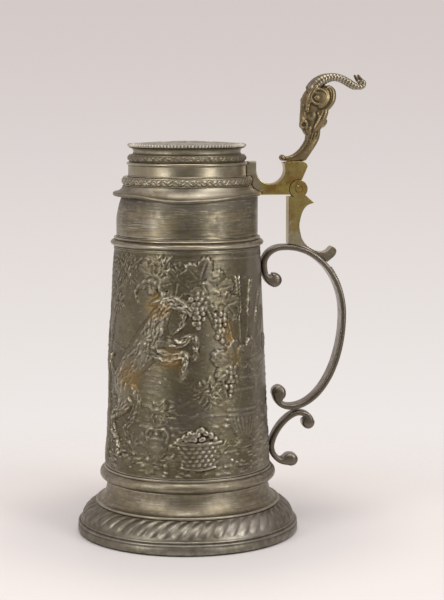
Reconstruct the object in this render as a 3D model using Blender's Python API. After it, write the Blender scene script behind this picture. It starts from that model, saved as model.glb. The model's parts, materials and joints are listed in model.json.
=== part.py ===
"""Lidded tankard of cast pewter with a relief drum, a scroll handle and a ram's-head thumb lift.

Metres, +Z up. The tankard stands on Z = 0 with its axis on Z. The handle points along +X, and the
lid swings on a five-ring hinge whose axis runs along Y above the handle.
"""

import math

import bmesh
import bpy
from mathutils import Matrix, Vector

MM = 0.001
SEGMENTS = 48
FIT_GAP = 0.3 * MM
SAME_POINT = 0.01 * MM
ARC_STEP_DEG = 15.0
SHARP_EDGE_DEG = 35.0

# Foot, from the table upwards
FOOT_RADIUS = 64.6 * MM
FOOT_RIM_HEIGHT = 5.2 * MM
FOOT_FILLET_HEIGHT = 2.8 * MM
FOOT_FILLET_STEP = 2.0 * MM
FOOT_WALL = 2.4 * MM
FOOT_FLANGE = 6.3 * MM
BASE_PLATE_THICKNESS = 2.0 * MM
GADROON_HEIGHT = 9.7 * MM
GADROON_SWELL = 1.3 * MM
COVE_LIP_RADIUS = 54.0 * MM
COVE_LIP_HEIGHT = 1.3 * MM
COVE_WAIST_RADIUS = 47.4 * MM
COVE_HEIGHT = 13.3 * MM
BEAD_RADIUS = 51.5 * MM
BEAD_HEIGHT = 6.6 * MM
BEAD_FILLET_HEIGHT = 1.3 * MM
BEAD_FILLET_STEP = 0.9 * MM

# Drum, shoulder and neck
DRUM_FOOT_RADIUS = 48.1 * MM
DRUM_TOP_RADIUS = 42.3 * MM
DRUM_HEIGHT = 128.1 * MM
VESSEL_WALL = 2.3 * MM
SHOULDER_RADIUS = 44.3 * MM
SHOULDER_SLOPE = 1.3 * MM
SHOULDER_BAND = 0.8 * MM
SHOULDER_ROUND = 2.3 * MM
SHOULDER_FILLET = 0.6 * MM
SHOULDER_TAPER = 1.1 * MM
NECK_RADIUS = 40.9 * MM
NECK_HEIGHT = 23.3 * MM
NECK_WALL = 2.0 * MM

# The rim waves: high at the drinking lip and at the hinge, low at the two sides
RIM_DIP = 4.1 * MM
RIM_DIP_ANGLES = (36.0, 77.0, 145.0)
LIP_TUCK = 3.6 * MM
LIP_ANGLES = (34.0, 66.0)
LIP_START = 0.35

# Lid, from the hem upwards
HEM_OVERHANG = 2.0 * MM
HEM_CLEARANCE = 0.5 * MM
HEM_SKIRT = 1.2 * MM
HEM_EDGE_HEIGHT = 2.1 * MM
HEM_HEIGHT = 5.8 * MM
LEAF_BAND_STEP = 3.6 * MM
LEAF_BAND_HEIGHT = 4.9 * MM
LID_WALL_HEIGHT = 8.1 * MM
LID_WALL = 1.9 * MM
LID_FILLET_STEP = 0.9 * MM
LID_FILLET_HEIGHT = 1.7 * MM
COLLAR_STEP = 0.3 * MM
COLLAR_TORUS_HEIGHT = 3.9 * MM
SCOTIA_DEPTH = 2.9 * MM
SCOTIA_HEIGHT = 4.0 * MM
TOP_PLATE_RADIUS = 33.9 * MM
TOP_PLATE_EDGE = 1.6 * MM
TOP_PLATE_CROWN = 1.2 * MM

# Hinge
HINGE_SETBACK = 22.0 * MM
HINGE_RISE = 3.3 * MM
HINGE_WIDTH = 9.0 * MM
KNUCKLE_COUNT = 5
KNUCKLE_RADIUS = 5.3 * MM
KNUCKLE_PLAY = 0.3 * MM
KNUCKLE_RELIEF = 0.35 * MM
PIN_RADIUS = 2.0 * MM
PIN_CLEARANCE = 0.1 * MM
PIN_HEAD = 0.5 * MM
LID_OPENING_DEG = 108.0
STOP_CLEARANCE_DEG = 3.0

# Strap that carries the lid, with its block behind the notch
STRAP_PLATE = 5.2 * MM
STRAP_NOTCH_RADIUS = 8.0 * MM
STRAP_BAR_HEIGHT = 6.0 * MM
BLOCK_HEIGHT = 15.8 * MM
BLOCK_BACK = 5.1 * MM
BLOCK_CORNER = 2.6 * MM

# Thumb lift
STEM_WIDTH = 6.6 * MM
STEM_RISE = 15.6 * MM
STEM_LEAN = 10.6 * MM
STEM_THICKNESS = 9.6 * MM
STEM_FOOT = 9.5 * MM
STEM_FOOT_HEIGHT = 3.2 * MM
STEM_TOE_ROUND = 0.9 * MM
STEM_TOP_SETBACK = 1.0 * MM
STEM_TOP_DROP = 2.6 * MM
HEAD_TILT_DEG = 28.0
HEAD_HEIGHT = 28.5 * MM
HEAD_DEPTH = 20.0 * MM
HEAD_WIDTH = 14.4 * MM
HORN_RADIUS = 2.7 * MM
HORN_TIP_RADIUS = 1.7 * MM
HORN_REACH = 29.0 * MM
HORN_ARCH = 3.2 * MM
HORN_ROOT_SPREAD = 3.6 * MM
HORN_TIP_SPREAD = 8.5 * MM

# Post and its leaf on the handle's shoulder
POST_DEPTH = 6.4 * MM
POST_FRONT = 5.8 * MM
POST_STEP = 0.8 * MM
SPUR_REACH = 12.3 * MM
SPUR_DEPTH = 4.8 * MM
LEAF_REACH = 29.0 * MM
LEAF_LIFT = 7.2 * MM
LEAF_THICKNESS = 5.0 * MM

# Handle scrolls
HANDLE_SEAT_DROP = 11.7 * MM
HANDLE_CREST = 11.5 * MM
HANDLE_REACH = 52.2 * MM
HANDLE_CREST_REACH = 13.0 * MM
HANDLE_SHOULDER = 5.0 * MM
HANDLE_BOW_DROP = 42.0 * MM
HANDLE_WIDTH = 12.4 * MM
HANDLE_END_WIDTH = 9.6 * MM
HANDLE_THICKNESS = 3.2 * MM
HANDLE_CHAMFER = 0.8 * MM
VOLUTE_RADIUS = 4.2 * MM
VOLUTE_PROUD = 0.1 * MM
UPPER_VOLUTE_DROP = 9.5 * MM
UPPER_VOLUTE_REACH = 7.5 * MM
LOWER_VOLUTE_REACH = 11.4 * MM
LOWER_VOLUTE_RISE = 10.2 * MM
TAIL_SEAT_RISE = 8.2 * MM
TAIL_RISE = 21.2 * MM
TAIL_CREST_REACH = 17.5 * MM
TAIL_HOOK_REACH = 10.2 * MM
TAIL_HOOK_DROP = 7.4 * MM
TAIL_DROP = 12.4 * MM
TAIL_FOOT_REACH = 13.6 * MM
TAIL_WIDTH = 9.6 * MM
TAIL_THICKNESS = 2.8 * MM
TAIL_VOLUTE_RADIUS = 3.8 * MM

# Heights that follow from the sizes above
GADROON_BOTTOM = FOOT_RIM_HEIGHT + FOOT_FILLET_HEIGHT
FOOT_TOP = GADROON_BOTTOM + GADROON_HEIGHT
COVE_BOTTOM = FOOT_TOP + FIT_GAP
COVE_TOP = COVE_BOTTOM + COVE_HEIGHT
BEAD_BOTTOM = COVE_TOP + FIT_GAP
BEAD_TOP = BEAD_BOTTOM + BEAD_HEIGHT + BEAD_FILLET_HEIGHT
DRUM_BOTTOM = BEAD_TOP + FIT_GAP
DRUM_TOP = DRUM_BOTTOM + DRUM_HEIGHT
SHOULDER_BOTTOM = DRUM_TOP + FIT_GAP
SHOULDER_BAND_TOP = SHOULDER_BOTTOM + SHOULDER_SLOPE + SHOULDER_BAND
SHOULDER_ROUND_TOP = SHOULDER_BAND_TOP + SHOULDER_ROUND
SHOULDER_TOP = SHOULDER_ROUND_TOP + SHOULDER_FILLET + SHOULDER_TAPER
NECK_BOTTOM = SHOULDER_TOP + FIT_GAP
RIM_TOP = NECK_BOTTOM + NECK_HEIGHT
HEM_BOTTOM = RIM_TOP - HEM_SKIRT
HEM_EDGE_TOP = HEM_BOTTOM + HEM_EDGE_HEIGHT
HEM_TOP = HEM_BOTTOM + HEM_HEIGHT
LEAF_BAND_BOTTOM = HEM_TOP + FIT_GAP
LEAF_BAND_TOP = LEAF_BAND_BOTTOM + LEAF_BAND_HEIGHT
LID_WALL_BOTTOM = LEAF_BAND_TOP + FIT_GAP
LID_WALL_TOP = LID_WALL_BOTTOM + LID_WALL_HEIGHT
COLLAR_BOTTOM = LID_WALL_TOP + FIT_GAP
COLLAR_TOP = COLLAR_BOTTOM + COLLAR_TORUS_HEIGHT + SCOTIA_HEIGHT
TOP_PLATE_BOTTOM = COLLAR_TOP + FIT_GAP

HEM_RADIUS = NECK_RADIUS + HEM_OVERHANG
LID_RADIUS = TOP_PLATE_RADIUS
LEAF_BAND_RADIUS = LID_RADIUS + LEAF_BAND_STEP
COLLAR_RADIUS = LID_RADIUS + COLLAR_STEP
SCOTIA_RADIUS = LID_RADIUS - SCOTIA_DEPTH
FOOT_INNER_RADIUS = FOOT_RADIUS - FOOT_FLANGE
SEAT_INNER_RADIUS = COVE_WAIST_RADIUS - VESSEL_WALL
LID_INNER_RADIUS = LID_RADIUS - LID_WALL

HINGE = Vector((HEM_RADIUS + HINGE_SETBACK, 0.0, HEM_BOTTOM + HINGE_RISE))
KNUCKLE_PITCH = HINGE_WIDTH / KNUCKLE_COUNT

PEWTER = ((0.25, 0.24, 0.21), 0.40)
DARK_PEWTER = ((0.15, 0.15, 0.14), 0.42)
WORN_BRASS = ((0.36, 0.31, 0.19), 0.38)
BROWN_BRONZE = ((0.17, 0.14, 0.10), 0.44)


def smooth_step(start, end, value):
    """Rise from 0 at start to 1 at end with level ends."""
    share = min(max((value - start) / (end - start), 0.0), 1.0)
    return share * share * (3.0 - 2.0 * share)


def angle_from_lip(x, y):
    """Angle in degrees between a point and the drinking lip, which faces away from the handle."""
    return math.degrees(math.acos(max(-1.0, min(1.0, -x / math.hypot(x, y)))))


def rim_dip(x, y):
    """Depth of the rim's wave below its high points at the lip and the hinge."""
    before, lowest, after = RIM_DIP_ANGLES
    angle = angle_from_lip(x, y)
    return RIM_DIP * min(smooth_step(before, lowest, angle), smooth_step(after, lowest, angle))


def lip_share(x, y):
    """1 across the drinking lip, fading to 0 at the sides."""
    full, none = LIP_ANGLES
    return smooth_step(none, full, angle_from_lip(x, y))


def drum_radius(z):
    """Outer radius of the tapered drum at a height."""
    share = (z - DRUM_BOTTOM) / DRUM_HEIGHT
    return DRUM_FOOT_RADIUS + (DRUM_TOP_RADIUS - DRUM_FOOT_RADIUS) * share


def ellipse(centre, radii, start, end, steps):
    """Points on an ellipse from one angle in degrees to another."""
    points = []
    for step in range(steps + 1):
        angle = math.radians(start + (end - start) * step / steps)
        points.append((centre[0] + radii[0] * math.cos(angle), centre[1] + radii[1] * math.sin(angle)))
    return points


def quarter(start, end, upright_first, fullness=1.0, steps=9):
    """Quarter of an oval from start to end, leaving upright or level and arriving the other way."""
    points = []
    for step in range(steps + 1):
        turn = math.radians(90.0 * step / steps)
        gone = 1.0 - math.cos(turn) ** fullness
        done = math.sin(turn) ** fullness
        across, along = (gone, done) if upright_first else (done, gone)
        points.append((start[0] + (end[0] - start[0]) * across, start[1] + (end[1] - start[1]) * along))
    return points


def smooth_curve(knots, steps):
    """Points on a smooth curve through knots given in the X-Z plane."""
    points = []
    last = len(knots) - 1
    for index in range(last):
        before, start = Vector(knots[max(index - 1, 0)]), Vector(knots[index])
        end, after = Vector(knots[index + 1]), Vector(knots[min(index + 2, last)])
        for step in range(steps):
            t = step / steps
            point = (
                start * 2.0
                + (end - before) * t
                + (before * 2.0 - start * 5.0 + end * 4.0 - after) * t**2
                + (start * 3.0 - before - end * 3.0 + after) * t**3
            ) * 0.5
            points.append(tuple(point))
    points.append(tuple(knots[-1]))
    return points


def joined(*runs):
    """Chain runs of points, dropping the repeated point where two of them meet."""
    points = []
    for run in runs:
        for point in run:
            if not points or (Vector(point) - Vector(points[-1])).length > SAME_POINT:
                points.append(point)
    return points


def finish(name, look):
    """Metal with the colour and roughness of one piece."""
    colour, roughness = look
    metal = bpy.data.materials.new(name + "_metal")
    metal.use_nodes = True
    shader = metal.node_tree.nodes["Principled BSDF"]
    shader.inputs["Base Color"].default_value = (*colour, 1.0)
    shader.inputs["Metallic"].default_value = 1.0
    shader.inputs["Roughness"].default_value = roughness
    return metal


def add_piece(name, bm, look, parent):
    """Turn a closed mesh modelled in place into a named object under its parent empty."""
    bmesh.ops.recalc_face_normals(bm, faces=bm.faces)
    bmesh.ops.translate(bm, verts=bm.verts, vec=-parent.matrix_world.translation)
    mesh = bpy.data.meshes.new(name)
    bm.to_mesh(mesh)
    bm.free()
    mesh.shade_smooth()
    mesh.set_sharp_from_angle(angle=math.radians(SHARP_EDGE_DEG))
    piece = bpy.data.objects.new(name, mesh)
    bpy.context.scene.collection.objects.link(piece)
    piece.parent = parent
    if look:
        mesh.materials.append(finish(name, look))
    return piece


def add_guide(name, bm, parent):
    """Operand of a Boolean, kept out of the finished object."""
    guide = add_piece(name, bm, None, parent)
    guide.hide_render = True
    guide.display_type = "WIRE"
    return guide


def boolean(piece, operand, operation):
    """Cut a guide out of a piece, or add it."""
    change = piece.modifiers.new(operand.name, "BOOLEAN")
    change.operation = operation
    change.solver = "EXACT"
    change.object = operand


def turned_mesh(profile, closed=True):
    """Surface of revolution about Z from a profile of radius and height."""
    bm = bmesh.new()
    verts = [bm.verts.new((radius, 0.0, z)) for radius, z in profile]
    edges = [bm.edges.new(pair) for pair in zip(verts, verts[1:])]
    if closed:
        edges.append(bm.edges.new((verts[-1], verts[0])))
    bmesh.ops.spin(
        bm,
        geom=verts + edges,
        cent=(0.0, 0.0, 0.0),
        axis=(0.0, 0.0, 1.0),
        angle=math.tau,
        steps=SEGMENTS,
        use_merge=True,
    )
    bmesh.ops.remove_doubles(bm, verts=bm.verts, dist=SAME_POINT / 10.0)
    return bm


def extruded_mesh(outline, width):
    """Solid of an outline in the X-Z plane, centred across Y."""
    bm = bmesh.new()
    face = bm.faces.new([bm.verts.new((x, -width / 2.0, z)) for x, z in outline])
    pushed = bmesh.ops.extrude_face_region(bm, geom=[face])
    moved = [item for item in pushed["geom"] if isinstance(item, bmesh.types.BMVert)]
    bmesh.ops.translate(bm, verts=moved, vec=(0.0, width, 0.0))
    return bm


def rod_mesh(x, z, radius, low, high, segments=24):
    """Round rod along Y through a point of the X-Z plane."""
    bm = bmesh.new()
    place = Matrix.Translation((x, (low + high) / 2.0, z)) @ Matrix.Rotation(math.radians(90.0), 4, "X")
    bmesh.ops.create_cone(
        bm,
        cap_ends=True,
        segments=segments,
        radius1=radius,
        radius2=radius,
        depth=high - low,
        matrix=place,
    )
    return bm


def skinned_mesh(rings):
    """Closed skin over rings of equally many points, capped at both ends."""
    bm = bmesh.new()
    loops = [[bm.verts.new(point) for point in ring] for ring in rings]
    for ring, following in zip(loops, loops[1:]):
        for index in range(len(ring)):
            other = (index + 1) % len(ring)
            bm.faces.new((ring[index], ring[other], following[other], following[index]))
    bm.faces.new(reversed(loops[0]))
    bm.faces.new(loops[-1])
    return bm


def headings(path):
    """Unit direction of travel at each point of a path."""
    found = []
    for index in range(len(path)):
        before = Vector(path[max(index - 1, 0)])
        after = Vector(path[min(index + 1, len(path) - 1)])
        found.append((after - before).normalized())
    return found


def offset_path(path, distance):
    """Path moved to the right of its travel, which is inwards on a clockwise scroll."""
    return [
        (point[0] + way.y * distance, point[1] - way.x * distance)
        for point, way in zip(path, headings(path))
    ]


def scroll_mesh(outer, thickness, width, end_width):
    """Flat strap with eased edges along the outer side of a clockwise scroll, narrower at its ends."""
    inner = offset_path(outer, thickness)
    rings = []
    for index, (near, far) in enumerate(zip(outer, inner)):
        swell = math.sin(math.pi * index / (len(outer) - 1)) ** 0.5
        half = (end_width + (width - end_width) * swell) / 2.0
        section = (
            (0.0, half - HANDLE_CHAMFER),
            (HANDLE_CHAMFER, half),
            (thickness - HANDLE_CHAMFER, half),
            (thickness, half - HANDLE_CHAMFER),
        )
        ring = []
        for depth, side in section + tuple((depth, -side) for depth, side in reversed(section)):
            share = depth / thickness
            ring.append((near[0] + (far[0] - near[0]) * share, side, near[1] + (far[1] - near[1]) * share))
        rings.append(ring)
    return skinned_mesh(rings)


def add_foot(vessel):
    """Flared foot with its gadrooned swell, the flat base plate inside it and the cove above."""
    swell_foot = FOOT_RADIUS - FOOT_FILLET_STEP
    swell = []
    for step in range(6):
        share = step / 5
        bulge = GADROON_SWELL * math.sin(math.pi * share)
        swell.append(
            (
                swell_foot + (COVE_LIP_RADIUS - swell_foot) * share + bulge,
                GADROON_BOTTOM + GADROON_HEIGHT * share + bulge * 0.7,
            )
        )
    swell[-1] = (COVE_LIP_RADIUS, FOOT_TOP)
    rim = [
        (FOOT_INNER_RADIUS, 0.0),
        (FOOT_RADIUS, 0.0),
        (FOOT_RADIUS, FOOT_RIM_HEIGHT),
        (FOOT_RADIUS - FOOT_FILLET_STEP / 2.0, FOOT_RIM_HEIGHT + FOOT_FILLET_HEIGHT / 2.0),
    ]
    flange_top = BASE_PLATE_THICKNESS + FIT_GAP
    lining = [
        (SEAT_INNER_RADIUS, FOOT_TOP),
        (SEAT_INNER_RADIUS, FOOT_TOP - FOOT_WALL),
        (COVE_LIP_RADIUS - FOOT_WALL, FOOT_TOP - FOOT_WALL),
        (swell_foot - FOOT_WALL, GADROON_BOTTOM),
        (FOOT_RADIUS - FOOT_WALL, FOOT_RIM_HEIGHT - FOOT_WALL / 2.0),
        (FOOT_RADIUS - FOOT_WALL, flange_top),
        (FOOT_INNER_RADIUS, flange_top),
    ]
    add_piece("foot_rim", turned_mesh(rim + swell + lining), PEWTER, vessel)

    plate_radius = FOOT_INNER_RADIUS - FIT_GAP
    plate = [
        (0.0, BASE_PLATE_THICKNESS),
        (plate_radius, BASE_PLATE_THICKNESS),
        (plate_radius, 0.0),
        (0.0, 0.0),
    ]
    add_piece("base_plate", turned_mesh(plate, closed=False), PEWTER, vessel)

    lip_top = COVE_BOTTOM + COVE_LIP_HEIGHT
    hollow_top = COVE_TOP - COVE_LIP_HEIGHT
    hollow = quarter((COVE_LIP_RADIUS, lip_top), (COVE_WAIST_RADIUS, hollow_top), False, steps=5)
    cove = [(COVE_LIP_RADIUS, COVE_BOTTOM)] + hollow + [(COVE_WAIST_RADIUS, COVE_TOP)]
    cove += [
        (SEAT_INNER_RADIUS, COVE_TOP),
        (SEAT_INNER_RADIUS, COVE_BOTTOM),
    ]
    add_piece("foot_cove", turned_mesh(cove), PEWTER, vessel)

    seat = max(COVE_WAIST_RADIUS, DRUM_FOOT_RADIUS)
    round_middle = BEAD_BOTTOM + BEAD_HEIGHT / 2.0
    bead = ellipse((seat, round_middle), (BEAD_RADIUS - seat, BEAD_HEIGHT / 2.0), -90.0, 90.0, 6)
    fillet = [
        (seat + BEAD_FILLET_STEP, BEAD_BOTTOM + BEAD_HEIGHT),
        (seat + BEAD_FILLET_STEP, BEAD_TOP),
        (SEAT_INNER_RADIUS, BEAD_TOP),
        (SEAT_INNER_RADIUS, BEAD_BOTTOM),
    ]
    add_piece("foot_bead", turned_mesh(bead + fillet), PEWTER, vessel)


def add_body(vessel):
    """Tapered drum for the relief, the shoulder ring above it and the plain neck with its lip."""
    drum = [
        (DRUM_FOOT_RADIUS, DRUM_BOTTOM),
        (DRUM_TOP_RADIUS, DRUM_TOP),
        (DRUM_TOP_RADIUS - VESSEL_WALL, DRUM_TOP),
        (DRUM_FOOT_RADIUS - VESSEL_WALL, DRUM_BOTTOM),
    ]
    add_piece("relief_drum", turned_mesh(drum), PEWTER, vessel)

    fillet = NECK_RADIUS + 0.4 * (SHOULDER_RADIUS - NECK_RADIUS)
    inner = min(DRUM_TOP_RADIUS - VESSEL_WALL, NECK_RADIUS - NECK_WALL)
    shoulder = [
        (DRUM_TOP_RADIUS, SHOULDER_BOTTOM),
        (SHOULDER_RADIUS, SHOULDER_BOTTOM + SHOULDER_SLOPE),
    ]
    shoulder += quarter((SHOULDER_RADIUS, SHOULDER_BAND_TOP), (fillet, SHOULDER_ROUND_TOP), False, steps=3)
    shoulder += [
        (fillet, SHOULDER_ROUND_TOP + SHOULDER_FILLET),
        (NECK_RADIUS, SHOULDER_TOP),
        (inner, SHOULDER_TOP),
        (inner, SHOULDER_BOTTOM),
    ]
    add_piece("shoulder_ring", turned_mesh(shoulder), PEWTER, vessel)

    steps = [LIP_START + (1.0 - LIP_START) * step / 4.0 for step in range(5)]
    outside = [(NECK_RADIUS, NECK_BOTTOM + NECK_HEIGHT * share) for share in [0.0] + steps]
    inside = [(NECK_RADIUS - NECK_WALL, z) for _, z in reversed(outside)]
    neck = turned_mesh(outside + inside)
    for vert in neck.verts:
        x, y, z = vert.co
        share = (z - NECK_BOTTOM) / NECK_HEIGHT
        rise = max(0.0, share - LIP_START) / (1.0 - LIP_START)
        tuck = LIP_TUCK * lip_share(x, y) * rise**1.5
        drawn_in = 1.0 - tuck / math.hypot(x, y)
        vert.co = (x * drawn_in, y * drawn_in, z - rim_dip(x, y) * share)
    add_piece("neck_band", neck, PEWTER, vessel)


def waved(bm):
    """Let the hem follow the rim's wave, which dies away at the hem's top."""
    for vert in bm.verts:
        x, y, z = vert.co
        share = min(1.0, (HEM_TOP - z) / (HEM_TOP - HEM_EDGE_TOP))
        vert.co.z = z - rim_dip(x, y) * share
    return bm


def hem_flare():
    """Outer side of the hem from its edge up to the leaf band."""
    return quarter((HEM_RADIUS, HEM_EDGE_TOP), (LEAF_BAND_RADIUS, HEM_TOP), False, 1.1, steps=4)


def leaf_band_round():
    """Outer half-round of the leaf band."""
    foot = LEAF_BAND_RADIUS - 0.35 * LEAF_BAND_HEIGHT
    middle = LEAF_BAND_BOTTOM + LEAF_BAND_HEIGHT / 2.0
    return ellipse((foot, middle), (LEAF_BAND_RADIUS - foot, LEAF_BAND_HEIGHT / 2.0), -90.0, 90.0, 4)


def lid_wall_outside():
    """Plain wall of the lid with the fillet at its top."""
    fillet = LID_RADIUS + LID_FILLET_STEP
    step = LID_WALL_TOP - LID_FILLET_HEIGHT
    return [
        (LID_RADIUS, LID_WALL_BOTTOM),
        (LID_RADIUS, step - LID_FILLET_STEP / 2.0),
        (fillet, step),
        (fillet, LID_WALL_TOP),
    ]


def add_lid(lid):
    """Hem, leaf band, wall, collar and top plate of the lid."""
    edge_inner = NECK_RADIUS + HEM_CLEARANCE
    sheet = HEM_RADIUS - edge_inner
    band_inner = LID_INNER_RADIUS
    hem = [(edge_inner, HEM_BOTTOM), (HEM_RADIUS, HEM_BOTTOM)] + hem_flare()
    hem += [
        (band_inner, HEM_TOP),
        (band_inner, HEM_TOP - sheet / 2.0),
        (LEAF_BAND_RADIUS - sheet, HEM_TOP - sheet),
        (edge_inner, HEM_EDGE_TOP - sheet / 2.0),
    ]
    add_piece("lid_hem", waved(turned_mesh(hem)), PEWTER, lid)

    band = leaf_band_round() + [(band_inner, LEAF_BAND_TOP), (band_inner, LEAF_BAND_BOTTOM)]
    add_piece("lid_leaf_band", turned_mesh(band), PEWTER, lid)

    wall = lid_wall_outside()
    wall += [(LID_INNER_RADIUS, LID_WALL_TOP), (LID_INNER_RADIUS, LID_WALL_BOTTOM)]
    add_piece("lid_wall", turned_mesh(wall), PEWTER, lid)

    torus_foot = COLLAR_RADIUS - COLLAR_TORUS_HEIGHT / 2.0
    torus_top = COLLAR_BOTTOM + COLLAR_TORUS_HEIGHT
    torus_middle = COLLAR_BOTTOM + COLLAR_TORUS_HEIGHT / 2.0
    torus_radii = (COLLAR_RADIUS - torus_foot, COLLAR_TORUS_HEIGHT / 2.0)
    scotia_middle = torus_top + SCOTIA_HEIGHT / 2.0
    collar_inner = SCOTIA_RADIUS - LID_WALL
    collar = ellipse((torus_foot, torus_middle), torus_radii, -90.0, 90.0, 5)
    collar += [
        (SCOTIA_RADIUS, scotia_middle),
        ((SCOTIA_RADIUS + TOP_PLATE_RADIUS) / 2.0, COLLAR_TOP),
        (collar_inner, COLLAR_TOP),
        (collar_inner, COLLAR_BOTTOM),
    ]
    add_piece("lid_collar", turned_mesh(collar), PEWTER, lid)

    edge_top = TOP_PLATE_BOTTOM + TOP_PLATE_EDGE
    plate = [
        (0.0, edge_top + TOP_PLATE_CROWN),
        (0.6 * TOP_PLATE_RADIUS, edge_top + 0.75 * TOP_PLATE_CROWN),
        (TOP_PLATE_RADIUS - TOP_PLATE_EDGE, edge_top),
        (TOP_PLATE_RADIUS - 0.3 * TOP_PLATE_EDGE, edge_top),
        (TOP_PLATE_RADIUS, edge_top - 0.4 * TOP_PLATE_EDGE),
        (TOP_PLATE_RADIUS, TOP_PLATE_BOTTOM + 0.3 * TOP_PLATE_EDGE),
        (TOP_PLATE_RADIUS - 0.6 * TOP_PLATE_EDGE, TOP_PLATE_BOTTOM),
        (0.0, TOP_PLATE_BOTTOM),
    ]
    add_piece("lid_top_plate", turned_mesh(plate, closed=False), PEWTER, lid)


def handle_outline():
    """Outer side of the large scroll, clockwise from under its upper volute to its lower volute."""
    seat_z = DRUM_TOP - HANDLE_SEAT_DROP
    seat = (drum_radius(seat_z) + FIT_GAP, seat_z)
    volute_foot = (seat[0] + UPPER_VOLUTE_REACH, seat_z - UPPER_VOLUTE_DROP - VOLUTE_RADIUS)
    crest_z = seat_z + HANDLE_CREST
    crest = (seat[0] + HANDLE_CREST_REACH, crest_z)
    shoulder = (crest[0] + HANDLE_SHOULDER, crest_z)
    bow = (seat[0] + HANDLE_REACH, crest_z - HANDLE_BOW_DROP)
    bottom = (shoulder[0], tail_crest()[1] + FIT_GAP)
    volute_side = (bottom[0] - LOWER_VOLUTE_REACH, bottom[1] + LOWER_VOLUTE_RISE)
    return joined(
        quarter(volute_foot, seat, False),
        quarter(seat, crest, True),
        quarter(shoulder, bow, False, steps=12),
        quarter(bow, bottom, True, steps=13),
        quarter(bottom, volute_side, False),
    )


def tail_seat():
    """Point where the small lower scroll meets the drum."""
    z = DRUM_BOTTOM + TAIL_SEAT_RISE
    return drum_radius(z) + FIT_GAP, z


def tail_crest():
    """Top of the small lower scroll, under the large one."""
    x, z = tail_seat()
    return x + TAIL_CREST_REACH, z + TAIL_RISE


def tail_outline():
    """Outer side of the small lower scroll, clockwise from under its lower volute."""
    seat, crest = tail_seat(), tail_crest()
    foot = (seat[0] + TAIL_FOOT_REACH, seat[1] - TAIL_DROP)
    hook = (crest[0] + TAIL_HOOK_REACH, crest[1] - TAIL_HOOK_DROP)
    return joined(
        quarter(foot, seat, False),
        quarter(seat, crest, True, 1.25),
        quarter(crest, hook, False),
    )


def add_scroll(name, outline, centres, radius, sizes, vessel):
    """One scroll of the handle with a round volute at each end."""
    thickness, width, end_width = sizes
    piece = add_piece(name, scroll_mesh(outline, thickness, width, end_width), DARK_PEWTER, vessel)
    half = end_width / 2.0 + FIT_GAP
    for end, (x, z) in zip(("first", "last"), centres):
        roll = rod_mesh(x, z, radius, -half, half, 20)
        boolean(piece, add_guide(f"{name}_{end}_volute", roll, vessel), "UNION")


def add_handle(vessel):
    """Large scroll of the handle and the small scroll below it."""
    outline = handle_outline()
    centres = (
        (outline[0][0], outline[0][1] + VOLUTE_RADIUS),
        (outline[-1][0] + VOLUTE_RADIUS, outline[-1][1]),
    )
    sizes = (HANDLE_THICKNESS, HANDLE_WIDTH, HANDLE_END_WIDTH)
    add_scroll("handle_scroll", outline, centres, VOLUTE_RADIUS + VOLUTE_PROUD, sizes, vessel)

    outline = tail_outline()
    centres = (
        (outline[0][0], outline[0][1] + TAIL_VOLUTE_RADIUS),
        (outline[-1][0] - TAIL_VOLUTE_RADIUS, outline[-1][1]),
    )
    sizes = (TAIL_THICKNESS, TAIL_WIDTH, TAIL_WIDTH)
    add_scroll("handle_tail", outline, centres, TAIL_VOLUTE_RADIUS + VOLUTE_PROUD, sizes, vessel)


def cut_hinge(piece, first, parent):
    """Open every second ring of the hinge in a piece, and bore it for the pin."""
    reach = KNUCKLE_RADIUS + KNUCKLE_RELIEF
    for index in range(first, KNUCKLE_COUNT, 2):
        low = -HINGE_WIDTH / 2.0 + index * KNUCKLE_PITCH - KNUCKLE_PLAY / 2.0
        high = low + KNUCKLE_PITCH + KNUCKLE_PLAY
        if index == 0:
            low -= KNUCKLE_PITCH
        if index == KNUCKLE_COUNT - 1:
            high += KNUCKLE_PITCH
        slot = rod_mesh(HINGE.x, HINGE.z, reach, low, high)
        boolean(piece, add_guide(f"{piece.name}_slot_{index}", slot, parent), "DIFFERENCE")
    bore = rod_mesh(HINGE.x, HINGE.z, PIN_RADIUS + PIN_CLEARANCE, -HINGE_WIDTH, HINGE_WIDTH)
    boolean(piece, add_guide(f"{piece.name}_bore", bore, parent), "DIFFERENCE")


def around_hinge(radius, angle):
    """Point at a radius and an angle in degrees from the hinge axis, seen along +Y."""
    turn = math.radians(angle)
    return HINGE.x + radius * math.cos(turn), HINGE.z + radius * math.sin(turn)


def knuckle_arc(start, end):
    """Clockwise stretch of a knuckle's edge."""
    steps = round((start - end) / ARC_STEP_DEG)
    return ellipse((HINGE.x, HINGE.z), (KNUCKLE_RADIUS, KNUCKLE_RADIUS), start, end, steps)


def block_back_angle():
    """Angle of the block's back face, which meets the spur when the lid is open."""
    return math.degrees(math.atan2(BLOCK_HEIGHT - BLOCK_CORNER, BLOCK_BACK))


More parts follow.
